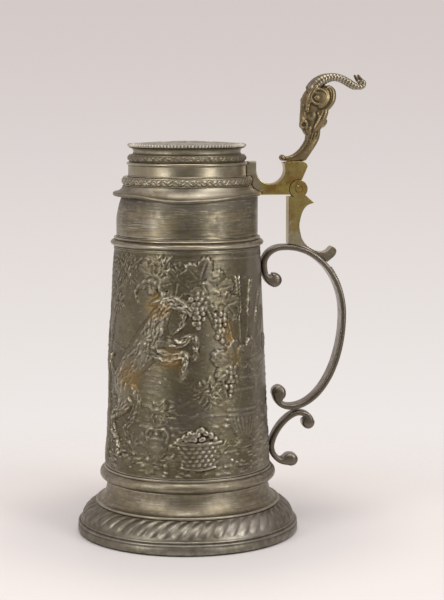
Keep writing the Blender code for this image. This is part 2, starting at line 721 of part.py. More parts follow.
def add_strap(lid):
    """Strap from the lid to the hinge, with its round notch, its block and two hinge rings."""
    fit = FIT_GAP
    plate = [(x + fit, z) for x, z in joined(hem_flare(), leaf_band_round(), lid_wall_outside())]
    plate_top = (plate[-1][0] + STRAP_PLATE, LID_WALL_TOP)
    bar_top = HEM_BOTTOM + STRAP_BAR_HEIGHT
    notch = (plate_top[0] + STRAP_NOTCH_RADIUS, bar_top + STRAP_NOTCH_RADIUS)
    notch_size = (STRAP_NOTCH_RADIUS, STRAP_NOTCH_RADIUS)
    block_top = HINGE.z + BLOCK_HEIGHT
    back = around_hinge(math.hypot(BLOCK_HEIGHT - BLOCK_CORNER, BLOCK_BACK), block_back_angle())
    bar_angle = 180.0 + math.degrees(math.asin(HINGE_RISE / KNUCKLE_RADIUS))
    outline = joined(
        [(HEM_RADIUS + fit, HEM_BOTTOM)],
        plate,
        [plate_top],
        ellipse(notch, notch_size, 180.0, 360.0, 12),
        [(notch[0] + STRAP_NOTCH_RADIUS - BLOCK_CORNER / 3.0, block_top)],
        [(back[0] - BLOCK_CORNER, block_top), back],
        knuckle_arc(block_back_angle(), bar_angle - 360.0),
    )
    strap = add_piece("lid_strap", extruded_mesh(outline, HINGE_WIDTH), WORN_BRASS, lid)
    cut_hinge(strap, 0, lid)


def add_post(vessel):
    """Post that carries the hinge, its stop spur, and the leaf it throws over the handle's shoulder."""
    handle = offset_path(handle_outline(), -FIT_GAP)
    crest = max(z for _, z in handle)
    bow = crest - HANDLE_BOW_DROP
    front = HINGE.x - POST_FRONT
    leaf_end = front + LEAF_REACH
    leaf_root = leaf_end - LEAF_THICKNESS
    under = [(front, crest)] + [(x, z) for x, z in handle if front < x < leaf_root and z > bow]
    root = under[-1]
    tip_z = root[1] + LEAF_LIFT
    waist = front + POST_DEPTH
    stop_angle = block_back_angle() - LID_OPENING_DEG - STOP_CLEARANCE_DEG
    spur = around_hinge(SPUR_REACH, stop_angle)
    step_z = HINGE.z - KNUCKLE_RADIUS + POST_STEP
    step_angle = 180.0 + math.degrees(math.asin((HINGE.z - step_z) / KNUCKLE_RADIUS))
    back_knots = [
        spur,
        (waist + 0.5 * SPUR_DEPTH, spur[1] - 0.8 * SPUR_DEPTH),
        (waist, spur[1] - 2.6 * SPUR_DEPTH),
        (waist + 0.9 * SPUR_DEPTH, crest - 0.3 * SPUR_DEPTH),
        (root[0] - LEAF_THICKNESS, root[1] + 0.5 * LEAF_LIFT),
        (leaf_end - 0.3 * LEAF_THICKNESS, tip_z),
    ]
    tip = [
        (leaf_end, tip_z - 0.45 * LEAF_THICKNESS),
        (leaf_end - 0.55 * LEAF_THICKNESS, root[1] + 0.12 * LEAF_LIFT),
    ]
    profile = joined(
        [(front, crest), (front, step_z)],
        knuckle_arc(step_angle, stop_angle),
        smooth_curve(back_knots, 4),
        tip,
        list(reversed(under)),
    )[:-1]
    post = add_piece("hinge_post", extruded_mesh(profile, HINGE_WIDTH), WORN_BRASS, vessel)
    cut_hinge(post, 1, vessel)

    half = HINGE_WIDTH / 2.0 + PIN_HEAD
    add_piece("hinge_pin", rod_mesh(HINGE.x, HINGE.z, PIN_RADIUS, -half, half), WORN_BRASS, vessel)


def stem_seat():
    """Height of the stem's foot on the block."""
    return HINGE.z + BLOCK_HEIGHT + FIT_GAP


def stem_top():
    """Front and back points of the slanted joint between the stem and the head."""
    tilt = math.radians(HEAD_TILT_DEG)
    front_x = HINGE.x + BLOCK_BACK - STEM_THICKNESS + STEM_LEAN - STEM_TOP_SETBACK
    front = (front_x, stem_seat() + STEM_RISE - STEM_TOP_DROP)
    back = (front[0] + STEM_THICKNESS * math.cos(tilt), front[1] + STEM_THICKNESS * math.sin(tilt))
    return front, back


def add_stem(lid):
    """Curved stem of the thumb lift, with a scroll foot that lies forward on the block."""
    foot_z = stem_seat()
    front, back = stem_top()
    heel = HINGE.x + BLOCK_BACK - 0.25 * BLOCK_CORNER
    toe = heel - STEM_THICKNESS - STEM_FOOT / 2.0
    front_knots = [
        (toe, foot_z),
        (toe - STEM_TOE_ROUND, foot_z + 0.5 * STEM_FOOT_HEIGHT),
        (toe + STEM_TOE_ROUND, foot_z + 0.9 * STEM_FOOT_HEIGHT),
        (toe + 0.6 * STEM_FOOT, foot_z + 1.15 * STEM_FOOT_HEIGHT),
        (front[0] - 0.32 * STEM_LEAN, foot_z + 0.55 * STEM_RISE),
        front,
    ]
    back_knots = [
        back,
        (heel + 0.62 * STEM_LEAN, foot_z + 0.55 * STEM_RISE),
        (heel + 0.25 * STEM_LEAN, foot_z + 0.22 * STEM_RISE),
        (heel, foot_z),
    ]
    outline = joined(smooth_curve(front_knots, 3), smooth_curve(back_knots, 3))
    stem = add_piece("thumb_lift_stem", extruded_mesh(outline, STEM_WIDTH), BROWN_BRONZE, lid)
    ease = stem.modifiers.new("eased_edges", "BEVEL")
    ease.width = 0.12 * STEM_WIDTH
    ease.segments = 1
    ease.limit_method = "ANGLE"
    ease.angle_limit = math.radians(60.0)


def horn_rings(side, swell):
    """Rings of one swept-back horn, made thicker by swell where it cuts its seat in the head."""
    front, _ = stem_top()
    root = Vector((front[0] + 0.20 * HEAD_DEPTH, front[1] + 1.07 * HEAD_HEIGHT))
    knots = [
        root,
        root + Vector((0.17 * HORN_REACH, 0.9 * HORN_ARCH)),
        root + Vector((0.42 * HORN_REACH, 1.2 * HORN_ARCH)),
        root + Vector((0.66 * HORN_REACH, 0.45 * HORN_ARCH)),
        root + Vector((0.87 * HORN_REACH, -0.35 * HORN_ARCH)),
        root + Vector((HORN_REACH, 0.1 * HORN_ARCH)),
    ]
    path = smooth_curve([tuple(knot) for knot in knots], 3)
    rings = []
    for index, (point, way) in enumerate(zip(path, headings(path))):
        share = index / (len(path) - 1)
        radius = HORN_RADIUS + (HORN_TIP_RADIUS - HORN_RADIUS) * share + swell
        spread = HORN_ROOT_SPREAD + (HORN_TIP_SPREAD - HORN_ROOT_SPREAD) * share**1.4
        ring = []
        for corner in range(10):
            turn = math.tau * corner / 10
            up, out = radius * math.cos(turn), radius * math.sin(turn)
            ring.append((point[0] - way.y * up, side * spread + out, point[1] + way.x * up))
        rings.append(ring)
    return rings


def add_head(lid):
    """Ram's head on the stem and its two horns."""
    front, back = stem_top()
    lift = Vector((0.0, FIT_GAP / math.cos(math.radians(HEAD_TILT_DEG))))
    low_front, low_back = Vector(front) + lift, Vector(back) + lift
    brow, nape = low_front.x - 0.21 * HEAD_DEPTH, low_front.x + 0.40 * HEAD_DEPTH
    base = low_front.y
    stations = (
        (low_front.x, 0.0, low_back.x, low_back.y - base, 0.46),
        (brow + 0.12 * HEAD_DEPTH, 0.09 * HEAD_HEIGHT, nape + 0.15 * HEAD_DEPTH, 0.24 * HEAD_HEIGHT, 0.60),
        (brow + 0.03 * HEAD_DEPTH, 0.23 * HEAD_HEIGHT, nape + 0.22 * HEAD_DEPTH, 0.35 * HEAD_HEIGHT, 0.68),
        (brow, 0.40 * HEAD_HEIGHT, nape + 0.24 * HEAD_DEPTH, 0.46 * HEAD_HEIGHT, 0.76),
        (brow, 0.56 * HEAD_HEIGHT, nape + 0.34 * HEAD_DEPTH, 0.58 * HEAD_HEIGHT, 0.88),
        (brow, 0.73 * HEAD_HEIGHT, nape + 0.51 * HEAD_DEPTH, 0.72 * HEAD_HEIGHT, 1.00),
        (brow + 0.03 * HEAD_DEPTH, 0.88 * HEAD_HEIGHT, nape + 0.53 * HEAD_DEPTH, 0.86 * HEAD_HEIGHT, 0.98),
        (brow + 0.12 * HEAD_DEPTH, 1.00 * HEAD_HEIGHT, nape + 0.45 * HEAD_DEPTH, 1.00 * HEAD_HEIGHT, 0.84),
        (brow + 0.30 * HEAD_DEPTH, 1.08 * HEAD_HEIGHT, nape + 0.25 * HEAD_DEPTH, 1.07 * HEAD_HEIGHT, 0.55),
    )
    rings = []
    for face_x, face_z, neck_x, neck_z, width in stations:
        near, far = Vector((face_x, base + face_z)), Vector((neck_x, base + neck_z))
        middle, half = (near + far) / 2.0, (far - near) / 2.0
        ring = []
        for corner in range(16):
            turn = math.tau * corner / 16
            across = middle + half * math.cos(turn)
            ring.append((across.x, 0.5 * width * HEAD_WIDTH * math.sin(turn), across.y))
        rings.append(ring)
    head = add_piece("thumb_lift_head", skinned_mesh(rings), BROWN_BRONZE, lid)
    for name, side in (("near", -1.0), ("far", 1.0)):
        seat = add_guide(f"horn_seat_{name}", skinned_mesh(horn_rings(side, FIT_GAP)), lid)
        boolean(head, seat, "DIFFERENCE")
        horn = skinned_mesh(horn_rings(side, 0.0))
        add_piece(f"thumb_lift_horn_{name}", horn, BROWN_BRONZE, lid)


def main():
    """Clear the scene and build the tankard."""
    for item in list(bpy.data.objects):
        bpy.data.objects.remove(item, do_unlink=True)
    vessel = bpy.data.objects.new("vessel", None)
    lid = bpy.data.objects.new("lid", None)
    for empty in (vessel, lid):
        bpy.context.scene.collection.objects.link(empty)
    lid.parent = vessel
    lid.location = HINGE
    bpy.context.view_layer.update()
    add_foot(vessel)
    add_body(vessel)
    add_handle(vessel)
    add_post(vessel)
    add_lid(lid)
    add_strap(lid)
    add_stem(lid)
    add_head(lid)


main()
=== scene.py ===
"""Looks of a lidded pewter tankard, laid out as an add-on and run as a script.

Metres, +Z up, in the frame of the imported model. The tankard's axis is Z, the handle and the hinge
lie towards +X, and the drinking lip faces -X.
"""

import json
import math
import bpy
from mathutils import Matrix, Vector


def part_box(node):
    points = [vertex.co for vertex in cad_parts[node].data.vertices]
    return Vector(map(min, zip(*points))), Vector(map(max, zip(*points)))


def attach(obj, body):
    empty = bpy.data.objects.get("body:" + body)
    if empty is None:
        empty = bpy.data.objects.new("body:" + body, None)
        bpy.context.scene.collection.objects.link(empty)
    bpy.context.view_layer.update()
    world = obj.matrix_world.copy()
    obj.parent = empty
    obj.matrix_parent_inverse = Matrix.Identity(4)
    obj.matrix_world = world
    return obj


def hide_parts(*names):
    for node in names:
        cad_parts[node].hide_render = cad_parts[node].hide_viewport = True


bl_info = {
    "name": "Relief tankard",
    "version": (1, 0, 0),
    "blender": (4, 5, 0),
    "location": "View3D > Sidebar > Tankard",
    "description": "Dresses a lidded tankard in cast pewter, brass and bronze",
    "category": "Object",
}

import bmesh
import bpy
import numpy as np
from bpy.props import FloatProperty, FloatVectorProperty, IntProperty, PointerProperty
from mathutils import Matrix, Vector

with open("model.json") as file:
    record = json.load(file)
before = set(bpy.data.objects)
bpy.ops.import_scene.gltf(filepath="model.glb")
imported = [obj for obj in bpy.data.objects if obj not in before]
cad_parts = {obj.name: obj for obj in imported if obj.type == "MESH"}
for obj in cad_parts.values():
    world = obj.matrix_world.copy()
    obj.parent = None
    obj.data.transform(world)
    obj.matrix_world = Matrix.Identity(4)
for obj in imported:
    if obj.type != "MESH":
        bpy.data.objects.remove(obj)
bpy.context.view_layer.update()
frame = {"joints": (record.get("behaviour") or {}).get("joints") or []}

MM = 0.001
LEAST_CORNER = math.radians(20.0)
SHARP_EDGE = math.radians(42.0)
FILED_EDGE = math.radians(20.0)
WELD_DISTANCE = 0.002 * MM
FULL_CURVATURE = 900.0
RELIEF_SEED = 11
CURLS_SEED = 5

# Gap between soldered pieces, and two steps that more than one piece follows
FIT = 0.3 * MM
HEM_OVERLAP = 1.2 * MM
SHOULDER_STEP = 2.0 * MM
HINGE = Vector(frame["joints"][0]["pos_m"])
OPEN_DEGREES = frame["joints"][0]["range_deg"][1]

# Columns of faces round a whole piece, and round one lobe, bend or bead of it
TURNED_COLUMNS = 192
WAVY_COLUMNS = 240
PLATE_COLUMNS = 128
COARSE_COLUMNS = 64
LOBE_COLUMNS = 12
SCROLL_COLUMNS = 22
BEAD_COLUMNS = 10

# Sides with painted shade or painted highlights, in degrees round the axis
SHADED_FOOT_SIDE = 212.0
FOOT_HIGHLIGHT_SIDE = 298.0
NECK_SHADE_SIDE = 286.0
HEM_HIGHLIGHT_SIDE = 287.0
HEM_LEFT_HIGHLIGHT = 222.0


def number(name, description, default, **kind):
    """Property for a number, with its unit or subtype."""
    return FloatProperty(name=name, description=description, default=default, **kind)


def length(name, description, default_mm):
    """Property for a size, with its default in millimetres."""
    return number(name, description, default_mm * MM, unit="LENGTH")


def rotation(name, description, degrees):
    """Property for an angle, with its default in degrees."""
    return number(name, description, math.radians(degrees), subtype="ANGLE")


def quantity(name, description, default, least):
    """Property for a number of like things."""
    return IntProperty(name=name, description=description, default=default, min=least)


def colour(name, description, default):
    """Property for a linear colour."""
    looks = {"size": 4, "subtype": "COLOR", "min": 0.0, "max": 1.0}
    return FloatVectorProperty(name=name, description=description, default=(*default, 1.0), **looks)


def share(name, description, default):
    """Property for a number from 0 to 1."""
    return number(name, description, default, min=0.0, max=1.0, subtype="FACTOR")


class FootSettings(bpy.types.PropertyGroup):
    """Sizes of the foot and its mouldings."""

    rim_height: length("Rim height", "Plain band at the foot's edge", 5.2)
    fillet_height: length("Fillet height", "Two thin rings between the rim and the gadroons", 2.8)
    fillet_step: length("Fillet step", "How far the rings draw in", 2.0)
    wall: length("Wall", "Thickness of the foot's shell", 2.4)
    flange: length("Flange", "Width of the flange round the base plate", 6.3)
    plate: length("Base plate", "Thickness of the base plate", 2.0)
    gadroons: quantity("Gadroons", "Lobes round the foot", 50, 8)
    gadroon_depth: length("Gadroon depth", "How far a lobe stands out of its groove", 0.8)
    gadroon_swell: length("Gadroon swell", "Bulge of the band that the lobes lie on", 1.3)
    gadroon_twist: number("Gadroon twist", "Turn of a lobe up its length", 0.14, subtype="ANGLE")
    lip_height: length("Cove lip", "Plain edges above and below the cove", 1.3)
    waist_radius: length("Waist radius", "Narrowest radius of the cove", 47.4)
    vessel_wall: length("Vessel wall", "Thickness of the drum and the cove's top", 2.3)


class DrumSettings(bpy.types.PropertyGroup):
    """Sizes of the relief on the drum."""

    columns: quantity("Columns", "Faces round the drum", 464, 48)
    rows: quantity("Rows", "Faces up the drum", 212, 24)
    background: length("Background", "Depth of the bare ground below the drum's outline", 0.5)
    grain: length("Grain", "Roughness of the cast surface", 0.14)


class NeckSettings(bpy.types.PropertyGroup):
    """Sizes of the neck, its wavy rim and the ring below it."""

    rim_dip: length("Rim dip", "Depth of the rim's wave at the sides", 2.7)
    dip_start: rotation("Dip start", "Where the wave leaves the lip", 36.0)
    dip_lowest: rotation("Dip lowest", "Where the wave is deepest, from the lip", 77.0)
    dip_end: rotation("Dip end", "Where the wave has risen again, from the lip", 145.0)
    lip_tuck: length("Lip tuck", "How far the drinking lip draws in", 3.6)
    lip_full: rotation("Lip full", "Half-angle of the full lip", 34.0)
    lip_none: rotation("Lip none", "Half-angle where the lip ends", 66.0)
    lip_start: share("Lip start", "Share of the neck's height where the lip begins", 0.35)
    wall: length("Wall", "Thickness of the neck", 2.0)


class LidSettings(bpy.types.PropertyGroup):
    """Sizes of the lid."""

    wall: length("Wall", "Thickness of the lid", 1.9)
    hem_edge: length("Hem edge", "Height of the hem's rolled edge", 2.1)
    hem_sheet: length("Hem sheet", "Thickness of the hem", 1.5)
    fillet_height: length("Fillet height", "Ring at the top of the lid's wall", 1.7)
    fillet_step: length("Fillet step", "How far the ring stands out", 0.9)
    torus_height: length("Torus height", "Height of the collar's leafy round", 3.9)
    scotia_depth: length("Scotia depth", "How far the hollow above it draws in", 2.9)
    band_sag: length("Band sag", "How far the edges of a leaf band draw in", 0.8)
    scrolls: quantity("Scrolls", "Bends of the vine round a leaf band", 36, 6)
    scroll_height: length("Scroll height", "How far the vine stands out of its band", 0.42)
    beads: quantity("Beads", "Beads round the top plate", 106, 12)
    bead_depth: length("Bead depth", "How far the beads stand out of the top plate's edge", 1.35)
    plate_edge: length("Plate edge", "Thickness of the top plate's edge", 1.6)
    medallion: length("Medallion", "Height of the relief on the top plate", 0.55)


class HandleSettings(bpy.types.PropertyGroup):
    """Sizes of the two scrolls of the handle."""

    thickness: length("Thickness", "Thickness of the large scroll", 3.5)
    width: length("Width", "Width of the large scroll at its bow", 12.0)
    end_width: length("End width", "Width of the scrolls at their ends", 9.6)
    volute: length("Volute", "Radius of the large scroll's rolled ends", 4.3)
    tail_thickness: length("Tail thickness", "Thickness of the small scroll", 3.3)
    tail_volute: length("Tail volute", "Radius of the small scroll's rolled ends", 3.9)
    bead: length("Bead", "Radius of the largest bead on the handle's back", 1.0)
    beads: quantity("Beads", "Beads down the handle's back", 30, 2)


class HingeSettings(bpy.types.PropertyGroup):
    """Sizes of the strap, the post and the hinge between them."""

    width: length("Width", "Width of the strap and the post", 9.0)
    rings: quantity("Rings", "Rings of the hinge", 5, 3)
    radius: length("Ring radius", "Radius of the rings", 5.3)
    play: length("Play", "Gap between two rings", 0.3)
    relief: length("Relief", "Gap round a ring", 0.35)
    pin: length("Pin", "Radius of the pin", 2.0)
    ease: length("Ease", "Rounding of the filed edges", 0.45)
    tab: length("Tab", "Width of the strap beside the lid's wall", 4.8)
    notch: length("Notch", "Radius of the round notch in the strap", 8.6)
    notch_floor: length("Notch floor", "Height of the notch above the hem's edge", 6.2)
    spur: length("Spur", "Reach of the post's stop spur from the pin", 12.3)


class ThumbLiftSettings(bpy.types.PropertyGroup):
    """Sizes of the thumb lift."""

    stem_width: length("Stem width", "Width of the stem", 6.8)
    head_width: length("Head width", "Width of the ram's head", 14.4)
    voxel: length("Voxel", "Fineness of the cast head", 0.34)
    rib: length("Rib", "Distance between two ribs of a horn", 1.85)
    rib_depth: share("Rib depth", "Depth of the ribs as a share of the horn's radius", 0.12)


class MetalSettings(bpy.types.PropertyGroup):
    """Colours of the metals."""

    # Also the colour of the painted highlight on the drum's right end.
    pewter: colour("Pewter", "Clean pewter", (0.330, 0.297, 0.234))
    # Also the colour of the painted highlights on the hem's flare.
    pewter_worn: colour("Worn pewter", "Rubbed edges of the pewter", (0.56, 0.515, 0.43))
    # Also the colour of the painted shade on the foot's left side and plain rim.
    pewter_dull: colour("Dull pewter", "Old skin of the pewter", (0.151, 0.130, 0.088))
    foot: colour("Foot", "Grey pewter of the gadroons", (0.305, 0.287, 0.240))
    foot_dull: colour("Dull foot", "Old skin of the gadroons", (0.141, 0.127, 0.097))
    lid: colour("Lid", "Polished pewter of the lid", (0.425, 0.393, 0.318))
    disc: colour("Disc", "Pale pewter of the lid's top plate", (0.49, 0.465, 0.408))
    lid_dull: colour("Dull lid", "Old skin of the lid", (0.31, 0.272, 0.198))
    patina: colour("Patina", "Yellow-brown film on the plain turned faces", (0.295, 0.248, 0.150))
    relief: colour("Relief", "Dark pewter of the drum", (0.202, 0.178, 0.117))
    # Also the colour of the painted shade on the drum's left side.
    relief_dull: colour("Dull relief", "Old skin of the drum", (0.118, 0.100, 0.062))
    # Also the colour of the painted shade on the neck.
    relief_haze: colour("Relief haze", "Violet-grey bloom on the drum", (0.166, 0.149, 0.12))
    # Also the colour of the painted shadow at the foot's bottom edge and under the hem's roll.
    grime: colour("Grime", "Dirt in the hollows", (0.055, 0.045, 0.028))
    stain: colour("Stain", "Orange-brown lacquer left in the relief", (0.27, 0.17, 0.052))
    handle: colour("Handle", "Pewter of the handle", (0.33, 0.30, 0.255))
    # Also the colour of the painted highlight on the foot's right lobes.
    handle_worn: colour("Worn handle", "Rubbed edges of the handle", (0.46, 0.43, 0.39))
    # Also the colour of the painted shade on the flat sides of the handle and of the post's leaf.
    handle_dull_and_shade: colour("Dull handle", "Dark skin of the handle's sides", (0.145, 0.122, 0.092))
    brass: colour("Brass", "Worn brass of the hinge", (0.420, 0.316, 0.098))
    brass_worn: colour("Worn brass", "Rubbed edges of the brass", (0.50, 0.41, 0.18))
    brass_dull: colour("Dull brass", "Olive skin of the brass", (0.20, 0.15, 0.045))
    brass_brown: colour("Brown brass", "Orange-brown patches on the brass", (0.24, 0.122, 0.025))
    solder: colour("Solder", "Tinned ends of the strap and the post", (0.44, 0.395, 0.315))
    bronze: colour("Bronze", "Brown bronze of the thumb lift", (0.27, 0.205, 0.112))
    bronze_worn: colour("Worn bronze", "Rubbed edges of the bronze", (0.46, 0.385, 0.23))
    horn: colour("Horn", "Pale bronze of the horns", (0.265, 0.228, 0.158))
    bronze_dull: colour("Dull bronze", "Dark skin of the bronze", (0.115, 0.083, 0.042))


class StageSettings(bpy.types.PropertyGroup):
    """Camera, light and floor."""

    distance: length("Distance", "Camera to the tankard's axis", 950.0)
    height: length("Height", "Camera above the table", 253.3)
    lens: number("Lens", "Focal length in millimetres", 98.58, unit="CAMERA")
    azimuth: rotation("Azimuth", "Camera round the axis", -7.5)
    yaw: rotation("Yaw", "Turn of the camera right of the axis", 1.22)
    pitch: rotation("Pitch", "Tilt of the camera down", 7.06)
    floor: colour("Floor", "Pale table", (0.75, 0.737, 0.733))
    sky_low: colour("Low backdrop", "Backdrop near the table", (0.90, 0.86, 0.835))
    sky_high: colour("High backdrop", "Backdrop above the tankard", (0.64, 0.575, 0.56))
    room: colour("Room", "Dim room on the camera's side", (0.112, 0.10, 0.084))
    key_power: number("Key power", "Right softbox in watts", 4.6, unit="POWER")
    fill_power: number("Fill power", "Left softbox in watts", 3.65, unit="POWER")
    top_power: number("Top power", "Softbox overhead in watts", 4.8, unit="POWER")


class TankardSettings(bpy.types.PropertyGroup):
    """All settings of the tankard."""

    foot: PointerProperty(type=FootSettings)
    drum: PointerProperty(type=DrumSettings)
    neck: PointerProperty(type=NeckSettings)
    lid: PointerProperty(type=LidSettings)
    handle: PointerProperty(type=HandleSettings)
    hinge: PointerProperty(type=HingeSettings)
    lift: PointerProperty(type=ThumbLiftSettings)
    metal: PointerProperty(type=MetalSettings)
    stage: PointerProperty(type=StageSettings)


# Shader graphs


def arithmetic(operation, reflected=False):
    """Operator on a wire that adds a Math node."""

    def operate(wire, other):
        first, second = (other, wire) if reflected else (wire, other)
        return wire.graph.node("ShaderNodeMath", {"operation": operation}, {0: first, 1: second})

    return operate


class Wire:
    """Output of a shader node. Arithmetic on it adds Math nodes."""

    def __init__(self, graph, socket):
        self.graph = graph
        self.socket = socket

    __add__ = arithmetic("ADD")
    __radd__ = arithmetic("ADD", reflected=True)
    __sub__ = arithmetic("SUBTRACT")
    __rsub__ = arithmetic("SUBTRACT", reflected=True)
    __mul__ = arithmetic("MULTIPLY")
    __rmul__ = arithmetic("MULTIPLY", reflected=True)


class Graph:
    """Node tree of a material or of the world."""

    def __init__(self, tree):
        self.tree = tree

    def feed(self, socket, value):
        """Link a wire to a socket, or set its number or colour."""
        if isinstance(value, Wire):
            self.tree.links.new(value.socket, socket)
        else:
            socket.default_value = value

    def node(self, kind, settings=None, sockets=None, output=0):
        """Add a node, set it up, feed its sockets and return one output."""
        made = self.tree.nodes.new(kind)
        for key, value in (settings or {}).items():
            setattr(made, key, value)
        for key, value in (sockets or {}).items():
            self.feed(made.inputs[key], value)
        return Wire(self, made.outputs[output])

    def place(self):
        """Position on the piece in metres."""
        return self.node("ShaderNodeTexCoord", output="Object")

    def mark(self, name):
        """Number stored on the points of a mesh."""
        return self.node("ShaderNodeAttribute", {"attribute_name": name}, output="Fac")

    def stretched(self, place, factors):
        """Position scaled by a different factor along each axis."""
        return self.node("ShaderNodeVectorMath", {"operation": "MULTIPLY"}, {0: place, 1: factors})

    def noise(self, place, scale, detail=3.0, roughness=0.55):
        """Cloudy noise around one half."""
        sockets = {"Vector": place, "Scale": scale, "Detail": detail, "Roughness": roughness}
        return self.node("ShaderNodeTexNoise", sockets=sockets)

    def fade(self, value, start, end):
        """0 at start and 1 at end, with a smooth step between them."""
        sockets = {"Value": value, "From Min": start, "From Max": end}
        return self.node("ShaderNodeMapRange", {"interpolation_type": "SMOOTHSTEP"}, sockets)

    def tint(self, amount, first, second):
        """Mix of two colours."""
        settings = {"data_type": "RGBA", "blend_type": "MIX"}
        return self.node("ShaderNodeMix", settings, {0: amount, 6: first, 7: second}, 2)


# Metals


PEWTER = ("pewter", "pewter_worn", "pewter_dull")
LID = ("lid", "pewter_worn", "lid_dull")
FAINT_PATINA = ("patina", 0.4, (70.0, 70.0, 150.0))

# What old_metal is told for each metal: its colours when clean, worn and dull, then how it has aged
FINISHES = {
    "turned_pewter": dict(
        colours=PEWTER, roughness=0.38, age=0.52, dirt=0.45, lathe_lines=0.9, matte=0.16,
        # The patch is painted shade on the neck: the hem's shadow near its top and a dimmed right
        # highlight.
        film=("patina", 0.8, (70.0, 70.0, 150.0)), patches=[("bloom_and_shade", "relief_haze", 0.85)],
    ),
    "foot_pewter": dict(
        colours=PEWTER, roughness=0.44, age=0.48, dirt=0.6, lathe_lines=0.6, film=FAINT_PATINA
    ),
    "cast_pewter": dict(
        colours=("foot", "handle_worn", "foot_dull"), roughness=0.42, age=0.6, wear=0.2, dirt=0.3,
        # These patches also paint shade on the foot's left side and plain rim, a highlight on its right
        # lobes and a contact shadow at its bottom edge.
        patches=[("ground", "pewter_dull", 0.45), ("painted_highlight", "handle_worn", 0.35), ("painted_shadow", "grime", 0.9)],
    ),
    "lid_pewter": dict(
        colours=LID, roughness=0.37, age=0.9, wear=0.1, dirt=0.45, grain=0.14, lathe_lines=0.6,
        film=FAINT_PATINA,
    ),
    "hem_pewter": dict(
        colours=PEWTER, roughness=0.46, age=0.42, wear=0.1, dirt=0.45, grain=0.2, lathe_lines=0.3,
        # A painted highlight on the flare and painted shadow under the rolled edge.
        film=FAINT_PATINA, patches=[("painted_highlight", "pewter_worn", 0.6), ("painted_shadow", "grime", 0.6)],
    ),
    "cast_lid_pewter": dict(
        colours=LID, roughness=0.42, age=0.4, wear=0.1, dirt=0.6, film=FAINT_PATINA,
        patches=[("ground", "pewter_dull", 0.45), ("aged", "pewter_dull", 0.65)],
    ),
    "disc_pewter": dict(
        colours=("disc", "pewter_worn", "lid_dull"), roughness=0.52, age=0.25, wear=0.2, dirt=0.9,
        patches=[("ground", "pewter_dull", 0.9)],
    ),
    "relief_pewter": dict(
        colours=("relief", "pewter_worn", "relief_dull"), roughness=0.42, age=0.5, wear=0.6, dirt=0.85,
        relief=True, film=("relief_haze", 0.6, (55.0, 55.0, 55.0)),
        # Painted shade dims the drum's left side and a painted highlight lifts its right end; the stain is
        # old lacquer.
        patches=[("bloom_and_shade", "relief_dull", 0.4), ("painted_highlight", "pewter", 0.6), ("stain", "stain", 0.55)],
    ),
    "handle_pewter": dict(
        colours=("handle", "handle_worn", "handle_dull_and_shade"), roughness=0.36, wear=0.25, grain=0.7,
        # The patch is painted shade on the handle's flat sides.
        patches=[("sides", "handle_dull_and_shade", 0.8)],
    ),
    "filed_brass": dict(
        colours=("brass", "brass_worn", "brass_dull"), roughness=0.36, age=0.4,
        film=("brass_brown", 0.95, (150.0, 150.0, 110.0)),
        # The second patch is painted shade on the post's leaf where it faces away from above.
        patches=[("tinned", "solder", 0.75), ("sides", "handle_dull_and_shade", 0.8)],
    ),
    "cast_bronze": dict(
        colours=("bronze", "bronze_worn", "bronze_dull"), roughness=0.38, age=0.35, wear=0.15, dirt=0.9
    ),
    "horn_bronze": dict(
        colours=("horn", "pewter_worn", "bronze_dull"), roughness=0.34, wear=0.3, dirt=0.9,
        patches=[("tip", "bronze_dull", 0.9)],
    ),
}
METALS = {}


def new_material(name):
    """Material, its graph and its Principled shader."""
    material = bpy.data.materials.new(name)
    material.use_nodes = True
    return material, Graph(material.node_tree), material.node_tree.nodes["Principled BSDF"]


